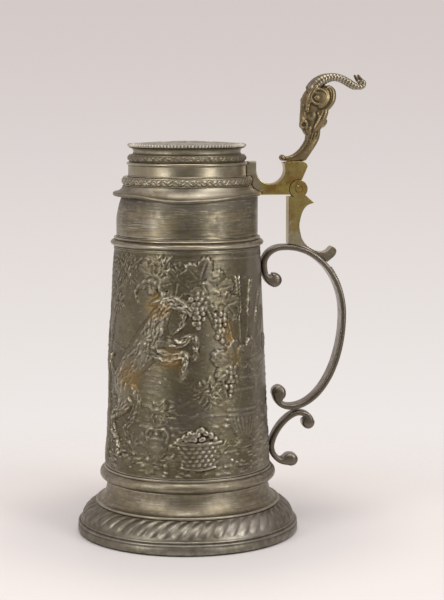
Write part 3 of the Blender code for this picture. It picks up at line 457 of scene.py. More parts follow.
def old_metal(
    name, colours, roughness, age=0.3, wear=0.4, dirt=0.75, grain=0.4, lathe_lines=0.0, relief=False,
    film=None, patches=(), matte=0.0,
):
    """Old metal: clouded skin, worn edges, dirt in the hollows, fine scratches and cast grain.

    Colours are named as in the settings. A film is a second colour in clouds, its strength and their
    scale. A patch is a mark on the mesh, its colour and its strength, and the last patch can be matte.
    Some patches paint shade, shadow and highlights.
    """
    look = bpy.context.scene.tankard.metal
    clean, worn, dull = (getattr(look, key) for key in colours)
    metal, graph, shader = new_material(name)
    shader.inputs["Metallic"].default_value = 1.0
    place = graph.place()
    cloud = graph.noise(place, 38.0, 4.0, 0.6)
    mottle = graph.noise(place, 230.0, 5.0, 0.65)
    speck = graph.noise(place, 1700.0, 2.0, 0.5)
    cavity = graph.mark("cavity") + (mottle - 0.5) * 0.16
    hollow = graph.fade(cavity, 0.53, 0.74)
    ridge = graph.fade(cavity, 0.46, 0.24)
    lines = graph.noise(graph.stretched(place, (45.0, 45.0, 1000.0)), 1.0, 3.0, 0.6)
    rubs = graph.noise(graph.stretched(place, (110.0, 110.0, 2300.0)), 1.0, 2.0, 0.7)

    skin = graph.fade(cloud * 0.5 + mottle * 0.5, 0.40, 0.60)
    tone = graph.tint(skin * 0.6 + (age - 0.3), clean, dull)
    if film:
        hue, strength, scale = film
        drift = graph.noise(graph.stretched(place, scale), 1.0, 5.0, 0.68)
        tone = graph.tint(graph.fade(drift, 0.45, 0.60) * strength, tone, getattr(look, hue))
    if relief:
        level = graph.mark("relief") + (mottle - 0.5) * 0.5
        tone = graph.tint(graph.fade(level, 0.40, 1.1) * 0.27, tone, worn)
        scrapes = graph.noise(graph.stretched(place, (300.0, 300.0, 900.0)), 1.0, 3.0, 0.7)
        tone = graph.tint(graph.fade(scrapes, 0.58, 0.74) * 0.45, tone, worn)
        tone = graph.tint(graph.fade(scrapes, 0.44, 0.30) * 0.6, tone, look.grime)
    tone = graph.tint(ridge * wear, tone, worn)
    tone = graph.tint(hollow * dirt, tone, look.grime)
    for mark, hue, strength in patches:
        spots = graph.fade(graph.mark(mark) + (mottle - 0.5) * 1.1 + (cloud - 0.5) * 0.5, 0.34, 0.74)
        tone = graph.tint(spots * strength, tone, getattr(look, hue))
    if lathe_lines:
        tone = graph.tint(graph.fade(lines, 0.46, 0.68) * lathe_lines, tone, dull)
        tone = graph.tint(graph.fade(rubs, 0.56, 0.70) * (0.7 * lathe_lines), tone, worn)
    graph.feed(shader.inputs["Base Color"], tone)

    uneven = (mottle - 0.5) * (0.5 * grain) + (cloud - 0.5) * 0.14
    rough = roughness + uneven + hollow * 0.16 - ridge * 0.05
    graph.feed(shader.inputs["Roughness"], rough + spots * matte if matte else rough)
    height = mottle * 0.6 + speck * 0.4 + lines * (0.5 * lathe_lines) + rubs * (0.35 * lathe_lines)
    if relief:
        height = height + scrapes * 1.6
    sockets = {"Strength": grain, "Distance": 0.22 * MM, "Height": height}
    graph.feed(shader.inputs["Normal"], graph.node("ShaderNodeBump", sockets=sockets))
    return metal


def metal_of(kind):
    """One of the tankard's metals, made when it is first asked for."""
    if kind not in METALS:
        METALS[kind] = old_metal(kind, **FINISHES[kind])
    return METALS[kind]


# Shapes


def smooth_step(start, end, value):
    """0 at start and 1 at end, with level ends, on numbers or arrays."""
    part = np.clip((np.asarray(value, float) - start) / (end - start), 0.0, 1.0)
    return part * part * (3.0 - 2.0 * part)


def hump(offset, width):
    """Smooth bump, 1 high where the offset is 0."""
    return np.exp(-((offset / width) ** 2))


def dome(inside):
    """Height of a round, from how far inside its edge a place lies, squared."""
    return np.sqrt(np.clip(inside, 0.0, None))


def paired(first, second):
    """Points from two rows of coordinates, or from a row and a number."""
    return np.stack(np.broadcast_arrays(first, second), axis=1)


def spread(values, count):
    """Values spread evenly over a number of points."""
    return np.interp(np.linspace(0.0, 1.0, count), np.linspace(0.0, 1.0, len(values)), values)


def arc(centre, radii, start, end, steps):
    """Points on an ellipse from one angle in degrees to another."""
    turn = np.radians(np.linspace(start, end, steps + 1))
    return paired(centre[0] + radii[0] * np.cos(turn), centre[1] + radii[1] * np.sin(turn))


def quarter(start, end, upright_first, fullness=1.0, steps=20):
    """Quarter of an oval from start to end, leaving upright or level and arriving the other way."""
    turn = np.radians(np.linspace(0.0, 90.0, steps + 1))
    gone, done = 1.0 - np.cos(turn) ** fullness, np.sin(turn) ** fullness
    across, along = (gone, done) if upright_first else (done, gone)
    return paired(start[0] + (end[0] - start[0]) * across, start[1] + (end[1] - start[1]) * along)


def curve_through(knots, steps=8):
    """Smooth curve through knots of any dimension."""
    knots = np.asarray(knots, float)
    held = np.concatenate([knots[:1], knots, knots[-1:]])
    t = (np.arange(steps) / steps)[:, None]
    runs = []
    for before, start, end, after in zip(held, held[1:], held[2:], held[3:]):
        bend = 2.0 * before - 5.0 * start + 4.0 * end - after
        twist = 3.0 * start - before - 3.0 * end + after
        runs.append(0.5 * (2.0 * start + (end - before) * t + bend * t**2 + twist * t**3))
    return np.concatenate([*runs, knots[-1:]])


def chained(*runs):
    """Runs of points in one array, without the repeated points where two runs meet."""
    points = np.concatenate([np.asarray(run, float) for run in runs])
    keep = np.ones(len(points), bool)
    keep[1:] = np.linalg.norm(np.diff(points, axis=0), axis=1) > WELD_DISTANCE
    return points[keep]


def eased(profile, ease):
    """Closed outline with its corners rounded and its smooth stretches left alone."""
    points = np.asarray(profile, float)
    result = []
    for before, corner, after in zip(np.roll(points, 1, 0), points, np.roll(points, -1, 0)):
        ways = (before - corner, after - corner)
        spans = [np.linalg.norm(way) for way in ways]
        turn = math.pi - math.acos(np.clip(ways[0] @ ways[1] / (spans[0] * spans[1]), -1.0, 1.0))
        if turn < LEAST_CORNER:
            result.append(corner)
            continue
        start, end = (corner + way / span * min(ease, 0.45 * span) for way, span in zip(ways, spans))
        for t in np.linspace(0.0, 1.0, 5):
            result.append((1.0 - t) ** 2 * start + 2.0 * t * (1.0 - t) * corner + t**2 * end)
    return np.array(result)


def run_lengths(path):
    """Length of a path from its start to each of its points."""
    return np.concatenate([[0.0], np.cumsum(np.linalg.norm(np.diff(path, axis=0), axis=1))])


def evenly(path, count):
    """A path resampled to evenly spaced points."""
    gone = run_lengths(path)
    at = np.linspace(0.0, gone[-1], count)
    return np.stack([np.interp(at, gone, axis) for axis in path.T], axis=1)


def headings(path):
    """Unit direction of travel at each point of a path."""
    ways = np.gradient(path, axis=0)
    return ways / np.linalg.norm(ways, axis=1, keepdims=True)


def turns(segments, start=0.0):
    """Angles of the columns of a turned piece."""
    return start + np.arange(segments) * math.tau / segments


def rounded_square(corners, boxiness):
    """Cosines and sines of the corners of a ring, squared off by its boxiness."""
    turn = turns(corners)
    return [np.sign(wave) * np.abs(wave) ** (2.0 / boxiness) for wave in (np.cos(turn), np.sin(turn))]


def push_out(points, distance, turn):
    """Move the points of a turned piece away from its axis."""
    points[..., 0] += distance * np.cos(turn)
    points[..., 1] += distance * np.sin(turn)


def lathe(profile, segments, swell=0.0, start=0.0):
    """Profile of radius and height turned round Z, up its outer side. Swell stands out of that side."""
    profile = np.asarray(profile, float)
    turn = turns(segments, start)
    way = np.roll(profile, -1, 0) - np.roll(profile, 1, 0)
    way /= np.maximum(np.linalg.norm(way, axis=1, keepdims=True), 1e-12)
    radius = profile[:, :1] + way[:, 1:] * swell
    height = profile[:, 1:] - way[:, :1] * swell
    return np.stack(np.broadcast_arrays(radius * np.cos(turn), radius * np.sin(turn), height), axis=-1)


def grid_mesh(name, points, along=True):
    """Mesh over a grid of points, closed round each row, and from the last row to the first where asked."""
    index = np.arange(points[..., 0].size).reshape(points.shape[:2])
    index = np.hstack([index, index[:, :1]])
    if along:
        index = np.vstack([index, index[:1]])
    corners = (index[:-1, :-1], index[:-1, 1:], index[1:, 1:], index[1:, :-1])
    mesh = bpy.data.meshes.new(name)
    mesh.from_pydata(points.reshape(-1, 3).tolist(), [], np.stack(corners, axis=-1).reshape(-1, 4).tolist())
    return mesh


def mesh_of(bm, name):
    """Mesh of a finished bmesh."""
    mesh = bpy.data.meshes.new(name)
    bm.to_mesh(mesh)
    bm.free()
    return mesh


def blob(middle, radii, tilt=0.0, fineness=3):
    """Ellipsoid, tilted in the X-Z plane, in millimetres."""
    bm = bmesh.new()
    bmesh.ops.create_icosphere(bm, subdivisions=fineness, radius=1.0)
    place = Matrix.Translation(Vector(middle) * MM) @ Matrix.Rotation(math.radians(tilt), 4, "Y")
    bm.transform(place @ Matrix.Diagonal((*(radius * MM for radius in radii), 1.0)))
    return mesh_of(bm, "blob")


def cleaned(mesh):
    """Weld a mesh, drop faces without area and turn its faces outwards."""
    bm = bmesh.new()
    bm.from_mesh(mesh)
    bmesh.ops.remove_doubles(bm, verts=bm.verts, dist=WELD_DISTANCE)
    bmesh.ops.recalc_face_normals(bm, faces=bm.faces)
    bm.to_mesh(mesh)
    bm.free()
    return mesh


def joined_mesh(name, meshes):
    """Several closed meshes in one."""
    bm = bmesh.new()
    for mesh in meshes:
        bm.from_mesh(mesh)
        bpy.data.meshes.remove(mesh)
    return mesh_of(bm, name)


def shown(name, data):
    """Object of a mesh, a lamp or a camera in the scene."""
    item = bpy.data.objects.new(name, data)
    bpy.context.scene.collection.objects.link(item)
    return item


def modify(item, kind, **settings):
    """Add a modifier to an object."""
    modifier = item.modifiers.new(kind.lower(), kind)
    for key, value in settings.items():
        setattr(modifier, key, value)


def evaluated(item, name):
    """Mesh that the modifiers of an object leave. The object is removed."""
    graph = bpy.context.evaluated_depsgraph_get()
    mesh = bpy.data.meshes.new_from_object(item.evaluated_get(graph))
    mesh.name = name
    bpy.data.objects.remove(item)
    return mesh


def set_mark(mesh, name, values):
    """Store a number on each point of a mesh for its material."""
    mark = mesh.attributes.new(name, "FLOAT", "POINT")
    mark.data.foreach_set("value", np.asarray(values, np.float32))


def mark_rows(mesh, shape, name, *runs):
    """Store a number on runs of rows of a turned mesh, and 0 on its other rows. Overlaps add up."""
    values = np.zeros(shape)
    for rows, value in runs:
        values[rows] += value
    set_mark(mesh, name, values.ravel())


def points_of(mesh):
    """Place and normal of each point of a mesh."""
    place, normal = np.empty(len(mesh.vertices) * 3), np.empty(len(mesh.vertices) * 3)
    mesh.vertices.foreach_get("co", place)
    mesh.vertex_normals.foreach_get("vector", normal)
    return place.reshape(-1, 3), normal.reshape(-1, 3)


def mark_cavities(mesh, blur=1, full=FULL_CURVATURE):
    """Store how hollow a surface is at each point: 0 on a sharp ridge, 0.5 where flat, 1 in a groove."""
    place, normal = points_of(mesh)
    count = len(place)
    ends = np.empty(len(mesh.edges) * 2, int)
    mesh.edges.foreach_get("vertices", ends)
    first, second = ends[0::2], ends[1::2]
    way = place[second] - place[first]
    span = np.maximum(np.einsum("ij,ij->i", way, way), 1e-12)
    bend = np.zeros(count)
    np.add.at(bend, first, np.einsum("ij,ij->i", normal[first], way) / span)
    np.add.at(bend, second, -np.einsum("ij,ij->i", normal[second], way) / span)
    links = np.maximum(np.bincount(ends, minlength=count), 1)
    bend = 2.0 * bend / links
    for _ in range(blur):
        near = np.zeros(count)
        np.add.at(near, first, bend[second])
        np.add.at(near, second, bend[first])
        bend = 0.5 * bend + 0.5 * near / links
    set_mark(mesh, "cavity", np.clip(0.5 + 0.5 * bend / full, 0.0, 1.0))


def add_piece(mesh, metal, body, node, sharp=SHARP_EDGE):
    """Show a finished mesh in place of a CAD node, in one of the metals."""
    cleaned(mesh)
    mesh.shade_smooth()
    mesh.set_sharp_from_angle(angle=sharp)
    if "cavity" not in mesh.attributes:
        mark_cavities(mesh)
    mesh.materials.clear()
    mesh.materials.append(metal_of(metal))
    piece = shown(mesh.name, mesh)
    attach(piece, body)
    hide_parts(node)


def add_turned(node, profile, metal, body, ease=0.35 * MM):
    """Turned pewter piece in place of the CAD node of the same name."""
    mesh = grid_mesh(node + "_turned", lathe(eased(profile, ease), TURNED_COLUMNS))
    add_piece(mesh, metal, body, node)


def ring_box(node):
    """Outer radius, bottom and top of a round CAD node."""
    low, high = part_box(node)
    return high.y, low.z, high.z


# Foot


def add_rim(size):
    """Foot with its plain edge, two fillets and a band of slanted gadroons."""
    radius, bottom, top = ring_box("foot_rim")
    lip_radius = ring_box("foot_cove")[0]
    seat = size.waist_radius - size.vessel_wall
    rim_top = size.rim_height
    band_bottom, band_foot = rim_top + size.fillet_height, radius - size.fillet_step
    part = np.linspace(0.0, 1.0, 37)
    bulge = size.gadroon_swell * np.sin(math.pi * part)
    band_radius = band_foot + (lip_radius - band_foot) * part + bulge
    band = paired(band_radius, band_bottom + (top - band_bottom) * part + 0.7 * bulge)
    ring = size.fillet_height / 4.0
    fillets = chained(
        arc((radius - 0.35 * size.fillet_step, rim_top + ring), (0.9 * ring, 0.9 * ring), -60.0, 60.0, 6),
        arc((band_foot, rim_top + 3.0 * ring), (0.6 * ring, 0.9 * ring), -60.0, 60.0, 6),
    )
    edge = [(radius - size.flange, bottom), (radius - 1.2 * MM, bottom)]
    edge += [(radius - 0.2 * MM, bottom + 0.8 * MM), (radius, bottom + 1.3 * MM)]
    edge += [(radius, rim_top - 0.8 * MM), (radius - 0.5 * MM, rim_top)]
    floor, shell = size.plate + FIT, radius - size.wall
    lining = [(seat, top), (seat, top - size.wall), (lip_radius - size.wall, top - size.wall)]
    lining += [(band_foot - size.wall, band_bottom), (shell, rim_top - size.wall / 2.0)]
    lining += [(shell, floor), (radius - size.flange, floor)]
    profile = np.concatenate([edge, fillets, band, lining])

    lobes = slice(len(edge) + len(fillets), len(profile) - len(lining))
    turn = turns(size.gadroons * LOBE_COLUMNS)
    phase = (turn - size.gadroon_twist * part[:, None] ** 1.3) * size.gadroons / math.tau
    across = 2.0 * (phase - np.floor(phase)) - 1.0
    leaning = across - 0.25 * (1.0 - across**2)
    ends = np.abs(2.0 * np.clip((part[:, None] - 0.1) / 0.9, 0.0, 1.0) - 1.0) ** 4
    lobe = np.clip(1.0 - leaning**2 - ends, 0.0, 1.0)
    swell = np.zeros((len(profile), len(turn)))
    swell[lobes] = size.gadroon_depth * (lobe - 0.45 * (1.0 - ends))
    mesh = grid_mesh("foot_rim_gadrooned", lathe(profile, len(turn), swell))

    facing = np.degrees(turn)
    # Painted shade on the foot's left side and on its plain rim, and darker strips at the top and foot of
    # the lobes
    strips = 0.75 * (smooth_step(0.62, 0.95, part) + smooth_step(0.14, 0.06, part))[:, None]
    shade = 0.5 * hump(facing - SHADED_FOOT_SIDE, 24.0)
    mark_rows(mesh, swell.shape, "ground", (slice(None), shade), (slice(len(edge)), 0.45), (lobes, strips))
    # Painted highlight on the lobes of the foot's right side
    mark_rows(mesh, swell.shape, "painted_highlight", (lobes, hump(facing - FOOT_HIGHLIGHT_SIDE, 18.0)))
    # Painted contact shadow along the foot's bottom edge
    mark_rows(mesh, swell.shape, "painted_shadow", (slice(3), 1.0))
    add_piece(mesh, "cast_pewter", "vessel", "foot_rim")


def add_plate():
    """Plate that closes the foot, a little hollow in its middle."""
    radius, bottom, top = ring_box("base_plate")
    hollow = 0.35 * MM
    profile = [(0.0, bottom + hollow), (0.55 * radius, bottom + hollow), (0.60 * radius, bottom)]
    profile += [(radius - hollow, bottom), (radius, bottom + hollow), (radius, top), (0.0, top)]
    mesh = grid_mesh("base_plate_turned", lathe(profile, PLATE_COLUMNS), along=False)
    add_piece(mesh, "turned_pewter", "vessel", "base_plate")


def add_cove(size):
    """Hollow moulding above the gadroons."""
    radius, bottom, top = ring_box("foot_cove")
    waist = size.waist_radius
    seat = waist - size.vessel_wall
    lip_top, hollow_top = bottom + size.lip_height, top - size.lip_height
    lip = [(radius, bottom), (radius, lip_top - 0.2 * MM), (radius - 0.5 * MM, lip_top + 0.1 * MM)]
    hollow = quarter((radius - 0.9 * MM, lip_top + 0.2 * MM), (waist, hollow_top), False, steps=22)
    profile = np.concatenate([lip, hollow, [(waist, top), (seat, top), (seat, bottom)]])
    add_turned("foot_cove", profile, "foot_pewter", "vessel")


def add_bead(size):
    """Half-round bead with a thin fillet above it."""
    radius, bottom, top = ring_box("foot_bead")
    drum = ring_box("relief_drum")[0]
    seat = size.waist_radius - size.vessel_wall
    bead_top, fillet = top - 1.3 * MM, drum + 0.9 * MM
    radii = (radius - drum, (bead_top - bottom) / 2.0)
    bead = arc((drum, (bottom + bead_top) / 2.0), radii, -90.0, 82.0, 18)
    step = [(fillet, bead_top), (fillet, top), (seat, top), (seat, bottom)]
    add_turned("foot_bead", np.concatenate([bead, step]), "foot_pewter", "vessel")


class TANKARD_OT_foot(bpy.types.Operator):
    """Foot with its gadroons, the base plate, the cove and the bead above it"""

    bl_idname = "tankard.foot"
    bl_label = "Foot"

    def execute(self, context):
        size = context.scene.tankard.foot
        add_rim(size)
        add_plate()
        add_cove(size)
        add_bead(size)
        return {"FINISHED"}


# Relief drum


def bearing(way):
    """Degrees of a direction from upright."""
    return math.degrees(math.atan2(*way))


class ReliefPanel:
    """Height field over the unrolled drum, in millimetres from the middle of its front and its foot."""

    def __init__(self, round_length, height, columns, rows):
        self.round_length = round_length
        self.along = (np.arange(columns) / columns - 0.5) * round_length
        self.up = np.linspace(0.0, height, rows + 1)
        self.field = np.zeros((rows + 1, columns))
        self.random = np.random.default_rng(RELIEF_SEED)
        self.pick = self.random.uniform

    def patch(self, middle, reach_along, reach_up):
        """Cells near a point, and their places measured from it."""
        half = self.round_length / 2.0
        across = (self.along - middle[0] + half) % self.round_length - half
        up = self.up - middle[1]
        columns = np.nonzero(np.abs(across) <= reach_along)[0]
        rows = np.nonzero(np.abs(up) <= reach_up)[0]
        across, up = np.meshgrid(across[columns], up[rows])
        return np.ix_(rows, columns), across, up

    def lift(self, cells, inside, height):
        """Raise the cells inside a shape to its height where that is higher."""
        self.field[cells] = np.maximum(self.field[cells], np.where(inside, height, 0.0))

    def noise(self, cells_round, cells_up, seed):
        """Smooth seeded noise from 0 to 1 that meets itself round the drum."""
        values = np.random.default_rng(seed).random((cells_up + 2, cells_round))
        x = (self.along / self.round_length + 0.5) * cells_round
        y = self.up / self.up[-1] * cells_up
        column, row = np.floor(x).astype(int), np.floor(y).astype(int)
        across, upward = smooth_step(0.0, 1.0, x - column), smooth_step(0.0, 1.0, y - row)[:, None]
        left, right = values[:, column % cells_round], values[:, (column + 1) % cells_round]
        wave = left * (1.0 - across) + right * across
        return wave[row] * (1.0 - upward) + wave[row + 1] * upward

    def stroke(self, knots, radii, base=0.0, bark=0.0, flat=0.8, ribs=0.0):
        """Round limb along a curve, with bark grooves along it or ribs across it if asked."""
        path = curve_through(knots)
        for start, end, radius, done in zip(path, path[1:], spread(radii, len(path)), run_lengths(path)):
            middle, way = (start + end) / 2.0, end - start
            half = np.linalg.norm(way) / 2.0
            way = way / max(2.0 * half, 1e-9)
            cells, x, y = self.patch(middle, half + radius, half + radius)
            along = np.clip(x * way[0] + y * way[1], -half, half)
            aside = (-x * way[1] + y * way[0]) / radius
            gap = np.hypot(x - along * way[0], y - along * way[1])
            rise = dome(radius**2 - gap**2) * flat
            grooves = bark * np.sin(7.0 * aside + 0.5 * start[1])
            grooves += ribs * np.cos(1.5 * (done + half + along) + 2.0 * aside**2)
            self.lift(cells, gap < radius, base + rise + grooves * (rise > 0.3 * radius * flat))

    def boss(self, middle, wide, tall, base, height):
        """Oval boss of two radii."""
        cells, x, y = self.patch(middle, wide, tall)
        rise = dome(1.0 - (x / wide) ** 2 - (y / tall) ** 2)
        self.lift(cells, rise > 0.0, base + height * rise)

    def leaf(self, root, size, heading, base=0.2):
        """Five-lobed vine leaf with veins, from its stalk; the heading is in degrees from upright."""
        cells, x, y = self.patch(root, 1.1 * size, 1.1 * size)
        angle = (np.arctan2(x, y) - math.radians(heading) + math.pi) % math.tau - math.pi
        reach = np.hypot(x, y) / size
        edge = np.full_like(reach, 0.30)
        veins = np.zeros_like(reach)
        for turn, long in ((0.0, 1.0), (1.12, 0.90), (-1.12, 0.90), (2.2, 0.68), (-2.2, 0.68)):
            off = (angle - turn + math.pi) % math.tau - math.pi
            edge = np.maximum(edge, long * np.clip(1.0 - 0.52 * (off / 0.72) ** 2, 0.0, 1.0))
            spine = hump(reach * np.sin(off) * size, 0.7) * (np.cos(off) > 0.0)
            veins = np.maximum(veins, spine * smooth_step(0.95 * long, 0.5 * long, reach))
        edge = edge * (0.96 + 0.08 * np.abs(((angle * 4.2) % 1.0) * 2.0 - 1.0))
        inside = 1.0 - reach / edge
        rise = 0.95 * smooth_step(0.0, 0.12, inside) + 0.30 * np.cos(angle * 5.6) * reach
        rise = rise + 0.25 * np.sin(angle + root[0]) * reach - 0.42 * veins
        self.lift(cells, inside > 0.0, base + rise)

    def leaflet(self, middle, long, wide, heading, base=None, height=0.45):
        """Small plain leaf with a midrib, from a base or else on top of what is there."""
        cells, x, y = self.patch(middle, long, long)
        way = math.radians(heading)
        along = (x * math.sin(way) + y * math.cos(way)) / long
        aside = (x * math.cos(way) - y * math.sin(way)) / wide
        inside = 1.0 - along**2 - np.abs(aside) ** 1.6
        rise = height * (dome(inside) + 0.4 * hump(aside, 0.3))
        if base is None:
            self.field[cells] += rise * (inside > 0.0)
        else:
            self.lift(cells, inside > 0.0, rise + base)

    def shag(self, knots, radii, count):
        """Locks of hair along a limb."""
        path = evenly(curve_through(knots), 60)
        way = headings(path)
        thick = spread(radii, len(path))
        for _ in range(count):
            index = self.random.integers(len(path))
            aside = self.pick(-0.8, 0.8) * thick[index]
            middle = path[index] + aside * np.array([way[index][1], -way[index][0]])
            lean = bearing(way[index]) + self.pick(-35.0, 35.0)
            self.leaflet(middle, self.pick(1.8, 3.2), 0.8, lean, height=0.30)

    def foliage(self, middle, wide, tall, count):
        """Clump of small leaves, thickest in its middle."""
        for _ in range(count):
            turn, out = self.pick(0.0, math.tau), math.sqrt(self.pick(0.0, 1.0))
            place = (middle[0] + wide * out * math.cos(turn), middle[1] + tall * out * math.sin(turn))
            long = 2.3 * self.pick(0.8, 1.3)
            heading = bearing((math.cos(turn), math.sin(turn))) + self.pick(-50.0, 50.0)
            base = 0.15 + 0.40 * self.pick(0.0, 1.0 - 0.6 * out)
            self.leaflet(place, long, 0.5 * long, heading, base)

    def bunch(self, top, width, height):
        """Hanging bunch of grapes, fullest near its top."""
        grape = 1.75
        rows = int(height / (1.5 * grape))
        for row in range(rows):
            down = (row + 0.5) / rows
            half = 0.5 * width * min(1.0, 0.55 + 3.0 * down) * (1.0 - down**1.8) ** 0.7
            count = max(1, int(round(2.0 * half / (1.62 * grape))))
            for index in range(count):
                across = (index + 0.5 + 0.5 * (row % 2) - 0.25) / count * 2.0 - 1.0
                shift = self.pick(-0.35, 0.35, 2) * grape
                middle = (top[0] + across * half + shift[0], top[1] - down * height + shift[1])
                base = 0.15 + 0.85 * max(1.0 - across**2, 0.0) * (1.0 - 0.4 * down)
                radius = grape * self.pick(0.85, 1.12)
                self.boss(middle, radius, radius, base, 0.62 * radius)

    def tuft(self, root, size):
        """Fan of grass blades."""
        for lean in np.linspace(-52.0, 52.0, 7):
            way = math.radians(lean + self.pick(-7.0, 7.0))
            tall = size * self.pick(0.7, 1.0)
            bend = (root[0] + 0.55 * tall * math.sin(way), root[1] + 0.62 * tall * math.cos(way))
            tip = (root[0] + tall * math.sin(1.35 * way), root[1] + tall * math.cos(1.2 * way))
            self.stroke([root, bend, tip], (0.8, 0.65, 0.4), base=0.4)

    def stones(self, middle, count, reach):
        """Loose stones on the ground."""
        for _ in range(count):
            x, y = self.pick(-1.0, 1.0, 2) * reach
            self.boss((middle[0] + x, middle[1] + y), self.pick(1.2, 3.0), self.pick(0.7, 1.4), 0.4, 0.7)

    def basket(self, foot, width, height):
        """Woven basket heaped with grapes."""
        cells, x, y = self.patch((foot[0], foot[1] + height / 2.0), 0.55 * width, 0.5 * height)
        flare = 0.74 + 0.26 * (y / height + 0.5)
        half = 0.5 * width * flare
        belly = dome(1.0 - (x / half) ** 2)
        row = (y + height) / 2.4
        strand = np.sin(math.pi * (x / flare / 3.9 + 0.5 * np.floor(row)))
        weave = np.abs(strand) * np.abs(np.sin(math.pi * row))
        self.lift(cells, np.abs(x) < half, 0.35 + 0.85 * belly + 0.5 * weave)
        for level, wide, thick in ((0.0, 0.37, 1.1), (height, 0.52, 1.3)):
            sags = ((-1.0, 0.0), (0.0, 1.2), (1.0, 0.0))
            hoop = [(foot[0] + side * wide * width, foot[1] + level - sag) for side, sag in sags]
            self.stroke(hoop, (0.8 * thick, thick, 0.8 * thick), base=0.7, flat=0.7)
        for _ in range(22):
            across = self.pick(-1.0, 1.0)
            pile = self.pick(0.0, 1.0) * (1.0 - across**2) * 0.42 * height
            middle = (foot[0] + across * 0.45 * width, foot[1] + height + 1.4 + pile)
            radius = self.pick(1.4, 1.9)
            self.boss(middle, radius, radius, 0.5 + 0.6 * (1.0 - across**2), 0.65 * radius)

    def plinth(self, foot, width, height):
        """Block of stone with a moulded top and foot."""
        cells, x, y = self.patch((foot[0], foot[1] + height / 2.0), 0.5 * width, 0.5 * height)
        edge = np.minimum(0.5 * width - np.abs(x), 0.5 * height - np.abs(y))
        mould = hump(np.abs(y) - 0.38 * height, 0.7)
        self.lift(cells, True, 0.30 + 0.30 * smooth_step(0.0, 0.8, edge) + 0.30 * mould)

    def urn(self, foot, width, height, fullness=1.0):
        """Fluted urn with two handles."""
        for side in (-1.0, 1.0):
            loop = [(0.10, 0.93), (0.34, 0.96), (0.50, 0.82), (0.42, 0.62)]
            points = [(foot[0] + side * x * width, foot[1] + y * height) for x, y in loop]
            self.stroke(points, (1.0, 1.2, 1.0), 0.25, flat=0.7)
        knots = [(0.0, 0.22), (0.06, 0.24), (0.10, 0.14), (0.30, 0.38), (0.55, 0.48), (0.72, 0.36)]
        knots += [(0.82, 0.18), (0.92, 0.16), (0.97, 0.24), (1.0, 0.24)]
        level, half = np.array(knots).T
        cells, x, y = self.patch((foot[0], foot[1] + height / 2.0), 0.55 * width, 0.5 * height)
        rise = y / height + 0.5
        edge = width * np.interp(rise, level, half)
        share_out = np.clip(x / np.maximum(edge, 0.1), -1.0, 1.0)
        bands = sum(hump((rise - middle) * height, 0.7) for middle in (0.40, 0.46, 0.70, 0.84))
        flutes = 0.32 * np.abs(np.sin(math.pi * 3.6 * np.arcsin(share_out)))
        flutes = flutes * smooth_step(0.12, 0.2, rise) * smooth_step(0.40, 0.34, rise)
        body = np.sqrt(1.0 - share_out**2)
        self.lift(cells, np.abs(x) < edge, fullness * (0.35 + 0.95 * body) + 0.28 * bands + flutes)

    def wheat(self, root, tip):
        """Ear of wheat on its stalk."""
        root, tip = np.array(root, float), np.array(tip, float)
        self.stroke([root, tip], (0.7, 0.6), base=0.25, flat=0.7)
        lean = bearing(tip - root)
        for part in np.linspace(0.62, 1.0, 9):
            middle = root + (tip - root) * part
            for side in (-1.0, 1.0):
                aside = side * np.array([math.cos(math.radians(lean)), -math.sin(math.radians(lean))])
                self.leaflet(middle + aside, 1.9, 0.8, lean + 24.0 * side, 0.5, 0.5)

    def hills(self):
        """Layered distant hills, with hatched slopes."""
        for level, rise, cells, seed in ((66.0, 15.0, 7, 3), (52.0, 13.0, 9, 5), (38.0, 9.0, 11, 8)):
            ridge = level + rise * (self.noise(cells, 1, seed)[0] - 0.5) * 2.0
            below = ridge[None, :] - self.up[:, None]
            slope = 0.28 * smooth_step(0.0, 1.2, below) + 0.34 * hump(below - 0.9, 0.7)
            furrow = 0.20 * np.sin(below * 1.7 + 6.0 * self.noise(24, 6, seed + 1))
            self.lift(..., below > 0.0, slope + furrow * smooth_step(1.0, 5.0, below))

    def clouds(self, middle, wide, rows):
        """Long drifting clouds as soft wavy lines."""
        for row in range(rows):
            start = middle[0] - wide * self.pick(0.5, 1.0)
            end = middle[0] + wide * self.pick(0.5, 1.0)
            level = middle[1] - 3.4 * row
            x = np.linspace(start, end, 6)
            y = level + 1.9 * np.sin(x * 0.23 + row) + self.pick(-0.7, 0.7, 6)
            self.stroke(paired(x, y), (0.4, 0.9, 0.6, 0.9, 0.4), base=0.02, flat=0.42)

    def ground(self):
        """Rough ground with clods along the drum's foot, and marks of a tool over the whole field."""
        edge = 24.0 + 8.0 * (self.noise(10, 1, 21)[0] - 0.5)
        below = edge[None, :] - self.up[:, None]
        strata = 0.12 * np.sin(self.up[:, None] * 1.9 + 5.0 * self.noise(30, 5, 23))
        clods = 0.55 * (self.noise(120, 44, 25) - 0.35) * self.noise(36, 14, 26)
        self.lift(..., below > 0.0, smooth_step(0.0, 2.6, below) * (0.34 + strata + clods))
        low = smooth_step(72.0, 30.0, self.up)[:, None]
        self.field += (0.08 + 0.30 * low) * smooth_step(0.60, 0.86, self.noise(74, 66, 31))
        self.field -= (0.06 + 0.18 * low) * smooth_step(0.62, 0.86, self.noise(88, 72, 32))


